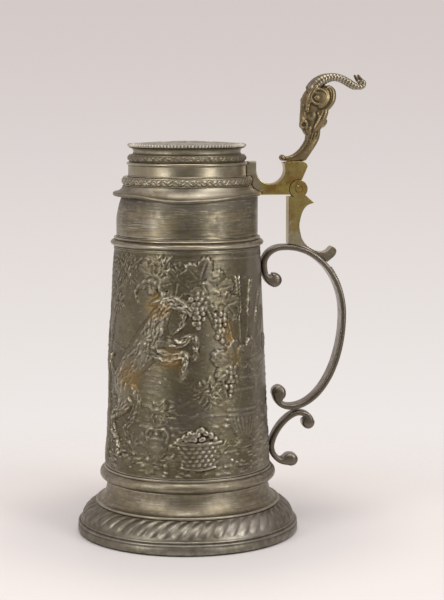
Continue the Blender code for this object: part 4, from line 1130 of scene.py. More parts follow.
def draw_harvest(panel):
    """Hilly ground with goats under a vine, urns of wheat, baskets, trees, grass and stones."""
    panel.hills()
    panel.ground()
    for along in range(-136, 140, 17):
        panel.tuft((along + panel.pick(-4.0, 4.0), panel.pick(5.0, 17.0)), 8.0)
    for along in range(-130, 142, 18):
        panel.stones((along, panel.pick(4.0, 13.0)), 10, (9.0, 4.0))
    panel.plinth((-84, 12), 22.0, 30.0)
    panel.urn((-84, 42), 30.0, 58.0, 1.9)
    for middle, mirror in ((0.0, 1.0), (142.0, -1.0)):

        def at(along, up, middle=middle, mirror=mirror):
            return middle + mirror * along, up

        draw_tree(panel, at)
        panel.clouds(at(36, 114), 22.0, 4)
        draw_urn(panel, at, mirror)
        draw_vine(panel, at, mirror)
        draw_goat(panel, at, mirror)
        panel.urn(at(-17, 8), 13.0, 21.0)
        panel.basket(at(6, 7), 24.0, 14.0)


def draw_tree(panel, at):
    """Tree at the left edge, with a leafy branch across the top."""
    trunk = [at(-62, 6), at(-58, 30), at(-63, 56), at(-58, 82), at(-52, 104), at(-44, 118)]
    panel.stroke(trunk, (5.0, 4.0, 3.4, 3.0, 2.2, 1.4), base=0.1, bark=0.16, flat=0.32)
    panel.stroke([at(-57, 86), at(-66, 98), at(-74, 108)], (2.0, 1.5, 1.0), base=0.1, bark=0.1, flat=0.4)
    panel.stroke([at(-52, 104), at(-36, 113), at(-18, 117)], (1.8, 1.3, 0.8), base=0.1, bark=0.1, flat=0.4)
    for along, up, wide, tall, count in (
        (-42, 116, 20, 9, 130), (-16, 118, 15, 7, 80), (-62, 112, 13, 10, 90), (-76, 104, 9, 8, 50),
        (-50, 98, 7, 6, 30), (58, 72, 9, 5, 40), (13, 48, 9, 8, 60), (-15, 38, 8, 6, 40),
    ):
        panel.foliage(at(along, up), wide, tall, count)


def draw_urn(panel, at, mirror):
    """Urn on a plinth, filled with wheat and leaves, with grapes over its lip."""
    panel.plinth(at(34, 5), 29.0, 11.0)
    ears = ((28, -26, 38), (31, -14, 45), (34, -2, 48), (36, 10, 46), (39, 22, 41), (41, 34, 34))
    for root, lean, tall in ears:
        way = math.radians(lean)
        panel.wheat(at(root, 64), at(root + tall * math.sin(way), 64 + tall * math.cos(way)))
    for along, up, size, heading, base in (
        (27, 64, 15, -62, 0.3), (41, 64, 15, 66, 0.3), (30, 66, 13, -12, 0.55), (39, 66, 13, 16, 0.6),
    ):
        panel.leaf(at(along, up), size, mirror * heading, base)
    panel.urn(at(34, 16), 27.0, 48.0)
    panel.bunch(at(26, 64), 11.0, 19.0)


def draw_vine(panel, at, mirror):
    """Vine that hangs from the tree, with leaves and bunches of grapes."""
    stem = [at(-30, 118), at(-12, 112), at(4, 114), at(18, 106), at(24, 96)]
    panel.stroke(stem, (1.3, 1.2, 1.1, 0.9, 0.7), 0.2, bark=0.1)
    for along, up, size, heading, base in (
        (-22, 114, 12, -120, 0.3), (-6, 112, 13, 190, 0.25), (8, 112, 14, 20, 0.3), (17, 107, 13, 80, 0.3),
        (23, 98, 12, 140, 0.3), (12, 104, 12, 215, 0.45),
    ):
        panel.leaf(at(along, up), size, mirror * heading, base)
    panel.bunch(at(6, 106), 13.0, 22.0)
    panel.bunch(at(20, 94), 11.0, 18.0)


def draw_goat(panel, at, mirror):
    """Goat that rears up to the vine, drawn limb by limb from the far side to the near one."""
    limbs = (
        ([(-31, 11), (-38, 26), (-30, 39), (-38, 51)], (1.8, 2.0, 3.8, 6.5), 0.15),
        ([(-17, 80), (-5, 77), (3, 80), (5, 71)], (4.6, 3.0, 2.2, 1.6), 0.15),
        ([(-51, 55), (-57, 61), (-55, 67)], (2.2, 1.9, 0.7), 0.3),
        ([(-43, 52), (-36, 62), (-27, 72), (-20, 82)], (9.2, 8.4, 9.6, 8.8), 0.2),
        ([(-21, 82), (-16, 92), (-12, 99)], (7.6, 5.4, 4.4), 0.35),
        ([(-45, 11), (-44, 16), (-52, 30), (-40, 41), (-43, 53)], (2.2, 1.8, 2.6, 5.4, 8.2), 0.55),
        ([(-24, 75), (-11, 68), (-2, 70), (-2, 60)], (5.8, 3.4, 2.4, 1.8), 0.6),
        ([(-13, 101), (-6, 99), (2, 95)], (4.5, 3.7, 2.5), 0.7),
        ([(-2, 93), (-3, 87), (-7, 83)], (1.7, 1.4, 0.6), 0.5),
    )
    for knots, radii, base in limbs:
        knots = [at(*knot) for knot in knots]
        panel.stroke(knots, radii, base, bark=0.13, flat=0.22)
        panel.shag(knots, radii, int(9.0 * max(radii)))
    horn = [at(-14, 104), at(-18, 110), at(-26, 111), at(-33, 105), at(-31, 99)]
    panel.stroke(horn, (2.0, 1.8, 1.5, 1.1, 0.6), 0.5, ribs=0.2)
    panel.leaflet(at(-18, 100), 5.0, 1.9, mirror * 250.0, 0.9)
    for along, up, turn in ((-2.4, 58.5, 10), (4.6, 69.5, 8), (-45, 10, -60), (-31, 10, -60)):
        panel.leaflet(at(along, up), 2.4, 1.7, mirror * turn, 0.6)
    panel.boss(at(-8, 100.5), 1.0, 1.0, 1.3, 0.5)


def add_drum(tankard):
    """Tapered drum whose relief is pushed out of its turned wall."""
    size = tankard.drum
    foot_radius, bottom, top = ring_box("relief_drum")
    top_radius = ring_box("shoulder_ring")[0] - SHOULDER_STEP
    round_length = math.tau * (foot_radius + top_radius) / 2.0 / MM
    tall = (top - bottom) / MM
    panel = ReliefPanel(round_length, tall, size.columns, size.rows)
    draw_harvest(panel)
    front = tankard.stage.azimuth - math.pi / 2.0
    calm_seats(panel, front, bottom)
    grain = panel.noise(150, 66, 41) + 0.8 * panel.noise(300, 140, 42) - 0.9
    ends = smooth_step(0.0, 2.4, panel.up) * smooth_step(tall, tall - 3.4, panel.up)
    field = (panel.field + grain * size.grain / MM - size.background / MM) * ends[:, None]
    for level in (tall - 1.2, tall - 4.6):
        field = np.maximum(field, 0.28 * hump(panel.up - level, 0.5)[:, None] - 0.1)

    part = np.linspace(0.0, 1.0, size.rows + 1)
    outside = paired(foot_radius + (top_radius - foot_radius) * part, bottom + (top - bottom) * part)
    inside = outside[[-1, 0]] - (tankard.foot.vessel_wall, 0.0)
    start = front - math.pi
    points = lathe(np.concatenate([outside, inside]), size.columns, start=start)
    push_out(points[: len(outside)], field * MM, turns(size.columns, start))
    mesh = cleaned(grid_mesh("relief_drum_cast", points))
    mark_relief(mesh, panel, points.shape[:2])
    add_piece(mesh, "relief_pewter", "vessel", "relief_drum")


def calm_seats(panel, front, bottom):
    """Lower the relief where the two scrolls of the handle are soldered on."""
    along = -front * panel.round_length / math.tau
    for node, low, high in (("handle_scroll", 0.80, 0.97), ("handle_tail", 0.18, 0.62)):
        box_low, box_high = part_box(node)
        tall = box_high.z - box_low.z
        middle = (box_low.z + tall * (low + high) / 2.0 - bottom) / MM
        half = tall * (high - low) / 2.0 / MM
        cells, x, y = panel.patch((along, middle), 14.0, half + 6.0)
        seat = smooth_step(12.0, 6.5, np.abs(x)) * smooth_step(half + 5.0, half, np.abs(y))
        panel.field[cells] = panel.field[cells] * (1.0 - seat) + 0.5 * seat


def mark_relief(mesh, panel, shape):
    """Store the relief's level, its painted shade and painted highlight, and where old lacquer is left in
    its hollows.
    """
    x, y = np.meshgrid(panel.along, panel.up)
    stain = np.zeros_like(x)
    spots = ((-18, 96, 14, 12), (-36, 56, 15, 16), (-8, 66, 10, 12), (28, 68, 10, 9), (24, 84, 9, 8))
    for along, up, wide, tall in spots:
        stain += hump(x - along, wide) * hump(y - up, tall)
    near = np.zeros_like(x)
    for shift in (-3, -2, -1, 1, 2, 3):
        near = np.maximum(near, np.roll(panel.field, shift, axis=1))
        near[3:-3] = np.maximum(near[3:-3], np.roll(panel.field, shift, axis=0)[3:-3])
    hollow = smooth_step(0.25, 1.2, near - panel.field)
    outside = slice(len(panel.up))
    mark_rows(mesh, shape, "relief", (outside, np.clip(panel.field / 2.3, 0.0, 1.0)))
    # Painted shade that dims the drum's left side
    mark_rows(mesh, shape, "bloom_and_shade", (outside, hump(x + 26.0, 13.0)))
    # Painted highlight on the drum's right end
    mark_rows(mesh, shape, "painted_highlight", (outside, hump(x - 52.0, 13.0)))
    mark_rows(mesh, shape, "stain", (outside, np.clip(stain, 0.0, 1.0) * (0.55 + 0.25 * hollow)))


class TANKARD_OT_drum(bpy.types.Operator):
    """Drum with its cast relief of a harvest"""

    bl_idname = "tankard.drum"
    bl_label = "Relief drum"

    def execute(self, context):
        add_drum(context.scene.tankard)
        return {"FINISHED"}


# Shoulder and neck


def lip_angle(turn):
    """Angle between a direction and the drinking lip."""
    return np.arccos(np.clip(-np.cos(turn), -1.0, 1.0))


def rim_dip(turn, neck):
    """Depth of the rim's wave below its high points at the lip and the hinge."""
    angle = lip_angle(turn)
    falling = smooth_step(neck.dip_start, neck.dip_lowest, angle)
    rising = smooth_step(neck.dip_end, neck.dip_lowest, angle)
    return neck.rim_dip * np.minimum(falling, rising)


def add_shoulder(size):
    """Ring of two rounds between the drum and the neck."""
    radius, bottom, top = ring_box("shoulder_ring")
    drum = radius - SHOULDER_STEP
    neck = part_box("neck_band")[1].y
    inner = neck - size.wall
    tall = top - bottom
    low_round = arc((drum, bottom + 0.30 * tall), (SHOULDER_STEP, 0.25 * tall), -90.0, 55.0, 12)
    high_round = arc((neck, bottom + 0.74 * tall), (0.45 * (radius - neck), 0.15 * tall), -50.0, 90.0, 10)
    lining = [(neck, top), (inner, top), (inner, bottom)]
    profile = np.concatenate([[(drum, bottom)], low_round, high_round, lining])
    add_turned("shoulder_ring", profile, "turned_pewter", "vessel", ease=0.2 * MM)


def add_neck(size):
    """Plain neck, drawn in at the drinking lip, with its rim in a wave."""
    low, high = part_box("neck_band")
    radius, bottom, top = high.y, low.z, high.z
    lip = size.wall / 2.0
    outside = paired(radius, bottom + (top - lip - bottom) * np.linspace(0.0, 1.0, 26))
    edge = arc((radius - lip, top - lip), (lip, lip), 0.0, 180.0, 8)[1:-1]
    inside = (outside - (size.wall, 0.0))[::-1]
    points = lathe(np.concatenate([outside, edge, inside]), WAVY_COLUMNS)
    turn = turns(WAVY_COLUMNS)
    rise = (points[..., 2] - bottom) / (top - bottom)
    lip_share = smooth_step(size.lip_none, size.lip_full, lip_angle(turn))
    lip_rise = np.clip(rise - size.lip_start, 0.0, 1.0) / (1.0 - size.lip_start)
    push_out(points, -size.lip_tuck * lip_share * lip_rise**1.5, turn)
    points[..., 2] -= rim_dip(turn, size) * np.clip(rise, 0.0, 1.0)
    mesh = grid_mesh("neck_band_turned", points)
    # Painted shade: the hem's shadow over the top of the neck, and a dimmed band where the right highlight
    # falls
    side = hump(np.degrees(turn) - NECK_SHADE_SIDE, 9.0)
    set_mark(mesh, "bloom_and_shade", np.maximum(smooth_step(0.3, 1.0, rise), 0.45 * side).ravel())
    add_piece(mesh, "turned_pewter", "vessel", "neck_band")


class TANKARD_OT_neck(bpy.types.Operator):
    """Ring above the drum and the plain neck with its wavy rim and drinking lip"""

    bl_idname = "tankard.neck"
    bl_label = "Shoulder and neck"

    def execute(self, context):
        size = context.scene.tankard.neck
        add_shoulder(size)
        add_neck(size)
        return {"FINISHED"}


# Lid


def bulged(radius, sag, bottom, top, steps=20):
    """Shallow half-round from its bottom to its top edge, which draw in by the sag."""
    part = np.linspace(-1.0, 1.0, steps + 1)
    return paired(radius - sag * part**2, (bottom + top + part * (top - bottom)) / 2.0)


def vine_scroll(turn, across, count):
    """Height from 0 to 1 of a vine with a leaf in each bend. Across runs from -1 to 1 over its band."""
    phase = turn * count / math.tau
    bend = phase - np.floor(phase)
    height = 0.95 * hump(across - 0.45 * np.sin(math.tau * phase), 0.17)
    for middle, side in ((0.25, -1.0), (0.75, 1.0)):
        along = (bend - middle) / 0.24
        over = (across - side * (0.34 + 0.22 * along)) / 0.36
        leaf = dome(1.0 - along**2 - over**2)
        vein = 0.25 * hump(over, 0.22) * (leaf > 0.0)
        height = np.maximum(height, 0.7 * leaf - vein)
    return height * smooth_step(1.0, 0.86, np.abs(across))


def lid_inner(size):
    """Inner radius of the lid."""
    return ring_box("lid_wall")[0] - size.fillet_step - size.wall


def hem_bottom():
    """Height of the hem's edge, which hangs over the neck."""
    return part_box("neck_band")[1].z - HEM_OVERLAP


def add_hem(size, neck):
    """Flared hem with a rolled edge, which follows the wave of the rim."""
    low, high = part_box("lid_hem")
    radius, top, bottom = -low.x, high.z, hem_bottom()
    band = ring_box("lid_leaf_band")[0]
    inner, sheet = lid_inner(size), size.hem_sheet
    edge_top = bottom + size.hem_edge
    roll_radius = 0.55 * size.hem_edge
    roll = arc((radius - roll_radius, bottom + roll_radius), (roll_radius, roll_radius), -90.0, 70.0, 10)
    flare = quarter((radius - 0.55 * MM, edge_top + 0.15 * MM), (band - FIT, top), False, 1.1, steps=16)
    under = [(inner, top), (inner, top - sheet / 2.0), (band - sheet, top - sheet)]
    under += [(radius - sheet, edge_top - sheet / 2.0), (radius - sheet, bottom + 0.1 * MM)]
    points = lathe(np.concatenate([roll, flare, under]), WAVY_COLUMNS)
    turn = turns(WAVY_COLUMNS)
    drop = np.clip((top - points[..., 2]) / (top - edge_top), 0.0, 1.0)
    points[..., 2] -= rim_dip(turn, neck) * drop
    mesh = grid_mesh("lid_hem_turned", points)
    facing = np.degrees(turn)
    # Painted highlights on the flare, on its right side and weaker on its left
    hem_highlights = hump(facing - HEM_HIGHLIGHT_SIDE, 24.0) + 0.6 * hump(facing - HEM_LEFT_HIGHLIGHT, 20.0)
    # Painted shadow under the hem's rolled edge
    mark_rows(mesh, drop.shape, "painted_shadow", (slice(6), 1.0))
    mark_rows(mesh, drop.shape, "painted_highlight", (slice(len(roll), len(roll) + len(flare)), hem_highlights))
    add_piece(mesh, "hem_pewter", "lid", "lid_hem")


def add_scrolled(node, rounded, rest, size, aged=0.0):
    """Turned ring whose half-round carries the running vine."""
    segments = size.scrolls * SCROLL_COLUMNS
    band = slice(len(rounded))
    across = np.linspace(-1.0, 1.0, len(rounded))[:, None]
    inside = smooth_step(1.0, 0.8, np.abs(across))
    vine = vine_scroll(turns(segments), across, size.scrolls)
    swell = np.zeros((len(rounded) + len(rest), segments))
    swell[band] = size.scroll_height * (vine - 0.35 * inside)
    mesh = grid_mesh(node + "_scrolled", lathe(np.concatenate([rounded, rest]), segments, swell))
    mark_rows(mesh, swell.shape, "ground", (band, smooth_step(0.5, 0.0, vine) * inside))
    mark_rows(mesh, swell.shape, "aged", (band, aged))
    add_piece(mesh, "cast_lid_pewter", "lid", node)


def add_leaf_band(size):
    """Half-round leaf band above the hem."""
    radius, bottom, top = ring_box("lid_leaf_band")
    inner = lid_inner(size)
    rounded = bulged(radius, size.band_sag, bottom, top)
    add_scrolled("lid_leaf_band", rounded, [(inner, top), (inner, bottom)], size)


def add_wall(size):
    """Plain wall with a fillet at its top."""
    fillet, bottom, top = ring_box("lid_wall")
    radius, inner = fillet - size.fillet_step, lid_inner(size)
    step = top - size.fillet_height
    ring = arc((radius, (step + top) / 2.0), (size.fillet_step, size.fillet_height / 2.0), -80.0, 80.0, 10)
    face = [(radius + 0.5 * MM, bottom), (radius + 0.1 * MM, bottom + 0.6 * MM)]
    face += [(radius, bottom + 1.4 * MM), (radius, step - 0.4 * MM)]
    profile = np.concatenate([face, ring, [(inner, top), (inner, bottom)]])
    add_turned("lid_wall", profile, "lid_pewter", "lid", ease=0.2 * MM)


def add_collar(size):
    """Leafy round and the hollow that sweeps out from it to the top plate."""
    radius, bottom, top = ring_box("lid_collar")
    torus_top = bottom + size.torus_height
    rounded = bulged(radius, size.band_sag, bottom, torus_top)
    hollow = radius - FIT - size.scotia_depth
    inner = hollow - size.wall
    lip = ring_box("lid_top_plate")[0] - 0.5 * MM
    scotia_foot = (hollow + 0.8 * MM, torus_top + 0.3 * MM)
    scotia = quarter(scotia_foot, (hollow, torus_top + 1.4 * MM), False, steps=5)
    sweep = quarter((hollow, torus_top + 1.6 * MM), (lip, top), True, steps=10)
    rest = np.concatenate([scotia, sweep, [(inner, top), (inner, bottom)]])
    add_scrolled("lid_collar", rounded, rest, size, aged=1.0)


def add_top_plate(size):
    """Slightly domed plate with a beaded edge and a medallion."""
    radius, bottom, top = ring_box("lid_top_plate")
    half = size.plate_edge / 2.0
    dip = 0.35 * MM
    edge_top, inset = bottom + size.plate_edge, radius - 1.1 * size.plate_edge
    under = [(0.0, bottom), (radius - 0.9 * size.plate_edge, bottom)]
    rim = arc((radius - half, bottom + half), (half, half), -80.0, 170.0, 14)
    span = np.linspace(inset, 0.0, 40)
    dish = paired(span, edge_top - dip + (top - edge_top + dip) * (1.0 - (span / inset) ** 2))
    turn = turns(size.beads * BEAD_COLUMNS)
    edge = slice(len(under), len(under) + len(rim))
    across = np.linspace(-1.0, 1.0, len(rim))[:, None]
    beads = np.abs(np.cos(turn * size.beads / 2.0)) ** 0.8
    swell = np.zeros((len(under) + len(rim) + len(dish), len(turn)))
    swell[edge] = size.bead_depth * (beads - 0.7) * smooth_step(-0.9, -0.2, across)
    swell[-len(span) :] = size.medallion * medallion(span[:, None] / inset, turn)
    swell[-1] = swell[-1].mean()
    points = lathe(np.concatenate([under, rim, dish]), len(turn), swell)
    mesh = grid_mesh("lid_top_plate_cast", points, along=False)
    mark_rows(mesh, swell.shape, "ground", (edge, 1.0 - beads))
    add_piece(mesh, "disc_pewter", "lid", "lid_top_plate")


def medallion(out, turn):
    """Height from 0 to 1 of a rosette in a ring of leaves. Out is 0 at its middle and 1 at its edge."""
    petal = 0.42 * np.abs(np.cos(4.0 * turn)) ** 0.6
    rosette = smooth_step(petal, petal - 0.12, out) * (0.75 + 0.25 * np.cos(8.0 * turn))
    rosette = rosette * smooth_step(0.0, 0.1, out)
    boss = dome(1.0 - (out / 0.10) ** 2)
    rings = sum(hump(out - middle, 0.018) for middle in (0.47, 0.93))
    across = (out - 0.70) / 0.21
    leaves = vine_scroll(turn, across, 10) * (np.abs(across) < 1.0)
    return np.maximum(np.maximum(rosette, boss), np.maximum(0.7 * rings, leaves))


class TANKARD_OT_lid(bpy.types.Operator):
    """Hem, leaf bands, wall, collar and beaded top plate of the lid"""

    bl_idname = "tankard.lid"
    bl_label = "Lid"

    def execute(self, context):
        size = context.scene.tankard.lid
        add_hem(size, context.scene.tankard.neck)
        add_leaf_band(size)
        add_wall(size)
        add_collar(size)
        add_top_plate(size)
        return {"FINISHED"}


# Handle


def offset_path(path, distance):
    """Path moved to the right of its travel, which is inwards on a clockwise scroll."""
    way = headings(path)
    return path + paired(way[:, 1] * distance, -way[:, 0] * distance)


def swept(name, outer, thick, wide):
    """Boxy scroll along its outer side. Thick and wide are its half sizes, and its ends are rounded off."""
    middle = offset_path(outer, thick)
    way = headings(middle)
    stations = list(zip(middle, way, thick, wide))
    for end, sign in ((0, -1.0), (-1, 1.0)):
        caps = []
        for turn in np.radians(np.arange(10.0, 91.0, 10.0)):
            place = middle[end] + sign * way[end] * thick[end] * math.sin(turn)
            size = max(math.cos(turn), 0.0)
            half_wide = wide[end] * (0.55 + 0.45 * size) if size > 0.01 else 0.0
            caps.append((place, way[end], thick[end] * size, half_wide))
        stations = caps[::-1] + stations if end == 0 else stations + caps
    across, aside = rounded_square(44, 4.2)
    rows = []
    for place, heading, half_thick, half_wide in stations:
        x, z = place[0] - heading[1] * across * half_thick, place[1] + heading[0] * across * half_thick
        rows.append(np.stack([x, aside * half_wide, z], axis=1))
    return grid_mesh(name, np.array(rows), along=False)


def swollen_ends(path, body, bulb, run):
    """Half thickness along a path, even but for a bulb at both ends, and the way to the nearer end."""
    gone = run_lengths(path)
    left = np.minimum(gone, gone[-1] - gone)
    return body + (bulb - body) * smooth_step(run, 0.12 * run, left), left


def upper_bow():
    """Outer side of the handle's upper half, from its crest to its farthest point."""
    low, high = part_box("handle_scroll")
    return quarter((low.x + 15.0 * MM, high.z), (high.x - 1.4 * MM, high.z - 42.0 * MM), False, steps=30)


def add_scroll(node, outer, thick, wide, extras=()):
    """One scroll of the handle, with what is cast on it."""
    name = node + "_cast"
    mesh = joined_mesh(name, [swept(name, outer, thick, wide), *extras])
    mark_shaded_sides(mesh)
    add_piece(mesh, "handle_pewter", "vessel", node)


def mark_shaded_sides(mesh):
    """Store where a scroll faces sideways, for painted shade on its flat sides."""
    set_mark(cleaned(mesh), "sides", smooth_step(0.45, 0.85, np.abs(points_of(mesh)[1][:, 1])))


def large_outline():
    """Outer side of the large scroll, clockwise from under its upper volute."""
    low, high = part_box("handle_scroll")
    seat = (low.x, high.z - 11.5 * MM)
    foot = (seat[0] + 7.5 * MM, seat[1] - 13.7 * MM)
    bow = upper_bow()
    bottom = (seat[0] + 18.0 * MM, low.z)
    side = (bottom[0] - 11.4 * MM, bottom[1] + 10.2 * MM)
    start = [quarter(foot, seat, False), quarter(seat, (seat[0] + 13.0 * MM, high.z), True)]
    end = [quarter(bow[-1], bottom, True, steps=30), quarter(bottom, side, False)]
    return evenly(chained(*start, bow, *end), 190)


def small_outline():
    """Outer side of the small scroll, clockwise from under its lower volute."""
    low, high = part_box("handle_tail")
    seat = (low.x, high.z - 21.2 * MM)
    foot = (seat[0] + 13.6 * MM, seat[1] - 12.4 * MM)
    crest = (seat[0] + 17.5 * MM, high.z)
    hook = (crest[0] + 10.2 * MM, high.z - 7.4 * MM)
    runs = [quarter(foot, seat, False), quarter(seat, crest, True, 1.25), quarter(crest, hook, False)]
    return evenly(chained(*runs), 110)


def back_beads(outer, size):
    """Beads that grow smaller down the back of the bow."""
    leaf_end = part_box("hinge_post")[1].x
    bow = int(np.argmax(outer[:, 0]))
    after_leaf = (outer[:bow, 0] > leaf_end - 3.0 * MM) & (outer[:bow, 1] > outer[bow, 1])
    below_bow = outer[bow:, 1] < outer[bow, 1] - 16.0 * MM
    row = evenly(outer[np.argmax(after_leaf) : bow + np.argmax(below_bow)], size.beads) / MM
    radii = np.linspace(1.0, 0.45, size.beads) * size.bead / MM
    return [blob((x, 0.0, z), (radius, radius, radius), fineness=2) for (x, z), radius in zip(row, radii)]


class TANKARD_OT_handle(bpy.types.Operator):
    """Large and small scrolls of the handle, with the row of beads down its back"""

    bl_idname = "tankard.handle"
    bl_label = "Handle"

    def execute(self, context):
        size = context.scene.tankard.handle
        half_end = size.end_width / 2.0
        outer = large_outline()
        thick, left = swollen_ends(outer, size.thickness / 2.0, size.volute, 10.0 * MM)
        wide = half_end + (size.width / 2.0 - half_end) * smooth_step(0.0, 60.0 * MM, left)
        add_scroll("handle_scroll", outer, thick, wide, back_beads(outer, size))
        outer = small_outline()
        thick, left = swollen_ends(outer, size.tail_thickness / 2.0, size.tail_volute, 8.5 * MM)
        add_scroll("handle_tail", outer, thick, np.full(len(outer), half_end))
        return {"FINISHED"}


# Hinge


def plate_mesh(name, outline, width, ease):
    """Flat plate across Y from an outline in the X-Z plane, with the edges of its two sides eased."""
    bm = bmesh.new()
    side = bm.faces.new([bm.verts.new((x, -width / 2.0, z)) for x, z in outline])
    pulled = bmesh.ops.extrude_face_region(bm, geom=[side])["geom"]
    far = [item for item in pulled if isinstance(item, bmesh.types.BMVert)]
    bmesh.ops.translate(bm, verts=far, vec=(0.0, width, 0.0))
    bmesh.ops.recalc_face_normals(bm, faces=bm.faces)
    rims = [edge for edge in bm.edges if abs(edge.verts[0].co.y - edge.verts[1].co.y) < WELD_DISTANCE]
    bmesh.ops.bevel(bm, geom=rims, offset=ease, segments=2, profile=0.5, affect="EDGES", clamp_overlap=True)
    return mesh_of(bm, name)


def rod_mesh(name, radius, low, high, ease=0.0):
    """Round rod along the hinge axis, with eased ends."""
    profile = [(0.0, low), (radius - ease, low), (radius, low + ease)]
    profile += [(radius, high - ease), (radius - ease, high), (0.0, high)]
    turned = lathe(profile, COARSE_COLUMNS)
    points = np.stack([HINGE.x + turned[..., 0], turned[..., 2], HINGE.z + turned[..., 1]], axis=-1)
    return cleaned(grid_mesh(name, points, along=False))


def cut_rings(mesh, size, first):
    """Cut every second ring of the hinge out of a mesh, and bore it for the pin."""
    pitch = size.width / size.rings
    cutters = [rod_mesh("bore", size.pin + 0.1 * MM, -size.width, size.width)]
    for index in range(first, size.rings, 2):
        low = -size.width / 2.0 + index * pitch - size.play / 2.0
        high = low + pitch + size.play
        low -= pitch if index == 0 else 0.0
        high += pitch if index == size.rings - 1 else 0.0
        cutters.append(rod_mesh("slot", size.radius + size.relief, low, high))
    whole = shown("uncut", mesh)
    tools = [shown("cutter", cutter) for cutter in cutters]
    for tool in tools:
        modify(whole, "BOOLEAN", operation="DIFFERENCE", solver="EXACT", object=tool)
    result = evaluated(whole, mesh.name + "_cut")
    for tool in tools:
        bpy.data.objects.remove(tool)
    return result


def round_hinge(radius, start, end, steps=40):
    """Arc round the hinge axis from one angle in degrees to another."""
    return arc((HINGE.x, HINGE.z), (radius, radius), start, end, steps)


def block_back():
    """Back corner of the strap's block, and its angle in degrees round the hinge axis."""
    corner = (HINGE.x + 5.1 * MM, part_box("lid_strap")[1].z - 2.6 * MM)
    return corner, math.degrees(math.atan2(corner[1] - HINGE.z, corner[0] - HINGE.x))


def mark_strap(mesh):
    """Store where solder has greyed the strap's end on the lid."""
    place, _ = points_of(cleaned(mesh))
    set_mark(mesh, "tinned", smooth_step(47.0 * MM, 40.0 * MM, place[:, 0]))


def mark_post(mesh):
    """Store where solder has greyed the post and its leaf, and painted shade where the leaf faces away from
    above.
    """
    place, normal = points_of(cleaned(mesh))
    x, z = place[:, 0], place[:, 2]
    low = smooth_step(HINGE.z - 14.0 * MM, HINGE.z - 32.0 * MM, z)
    leaf = smooth_step(69.0 * MM, 74.0 * MM, x) * (z < HINGE.z - 20.0 * MM)
    set_mark(mesh, "tinned", low * (0.62 + 0.38 * smooth_step(66.0 * MM, 70.0 * MM, x)))
    set_mark(mesh, "sides", 0.62 * leaf * smooth_step(0.6, 0.2, normal[:, 2]))


def strap_outline(tankard):
    """Clockwise outline of the strap, up the lid's side, round the notch and over the block."""
    size, lid = tankard.hinge, tankard.lid
    hem_low, hem_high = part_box("lid_hem")
    band, band_low, band_high = ring_box("lid_leaf_band")
    fillet, wall_low, wall_high = ring_box("lid_wall")
    hem_radius, bottom = -hem_low.x, hem_bottom()
    flare = quarter((hem_radius, bottom + lid.hem_edge), (band, hem_high.z), False, 1.1, steps=8)
    rounded = bulged(band, lid.band_sag, band_low, band_high, 8)
    wall = [(fillet - lid.fillet_step, wall_low), (fillet - lid.fillet_step, wall_high - 2.2 * MM)]
    wall += [(fillet, wall_high - lid.fillet_height), (fillet, wall_high)]
    side = np.concatenate([flare, rounded, wall]) + (FIT, 0.0)
    tab = side[-1][0] + size.tab
    middle = (tab + size.notch, bottom + size.notch_floor + size.notch)
    right, top = middle[0] + size.notch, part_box("lid_strap")[1].z
    block = [(right - 0.4 * MM, middle[1] + 2.4 * MM), (right - 1.2 * MM, top - 0.9 * MM)]
    block += [(right - 0.5 * MM, top - 0.6 * MM), (right + 3.0 * MM, top - 0.1 * MM)]
    block.append((right + 6.0 * MM, top))
    back, back_angle = block_back()
    corner = arc((back[0] - 3.0 * MM, top - 3.4 * MM), (3.2 * MM, 3.4 * MM), 90.0, 4.0, 9)
    under_angle = math.degrees(math.asin((HINGE.z - bottom) / size.radius)) - 180.0
    foot, tab_end = [(hem_radius + FIT, bottom)], [(tab, wall_high)]
    hollow = arc(middle, (size.notch, size.notch), 180.0, 360.0, 28)
    knuckle = round_hinge(size.radius, back_angle, under_angle)
    return chained(foot, side, tab_end, hollow, block, corner, knuckle)


def post_outline(size):
    """Clockwise outline of the post from its foot, over the ring, down its back and along the leaf."""
    low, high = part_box("hinge_post")
    front, leaf_end = low.x, high.x
    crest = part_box("handle_scroll")[1].z + FIT
    stop_angle = block_back()[1] - OPEN_DEGREES - 3.0
    spur = round_hinge(size.spur, stop_angle, stop_angle, 1)[0]
    step = HINGE.z - size.radius + 0.8 * MM
    step_angle = 180.0 + math.degrees(math.asin((HINGE.z - step) / size.radius))
    ring = round_hinge(size.radius, step_angle, stop_angle)
    under = offset_path(upper_bow(), -FIT)
    under = under[(under[:, 0] > front) & (under[:, 0] < leaf_end - 5.4 * MM)]
    waist, tip, root = front + 6.4 * MM, spur[1], under[-1]
    knots = [spur, (waist + 4.6 * MM, tip - 1.5 * MM), (waist + 1.7 * MM, tip - 5.4 * MM)]
    knots += [(waist, tip - 12.5 * MM), (waist + 0.6 * MM, crest + 6.4 * MM)]
    knots += [(waist + 1.8 * MM, crest + 2.6 * MM), (waist + 4.3 * MM, crest - 0.7 * MM)]
    leaf = [(-10.3, 8.7), (-6.5, 6.6), (-2.1, 5.7), (0.6, 6.8), (1.9, 8.1), (3.1, 8.9), (4.4, 8.3)]
    leaf += [(5.3, 6.6), (5.0, 4.9), (4.0, 3.3), (2.1, 1.7)]
    knots += list(root + np.array(leaf) * MM)
    return chained([(front, crest), (front, step)], ring, curve_through(knots), under[::-1])


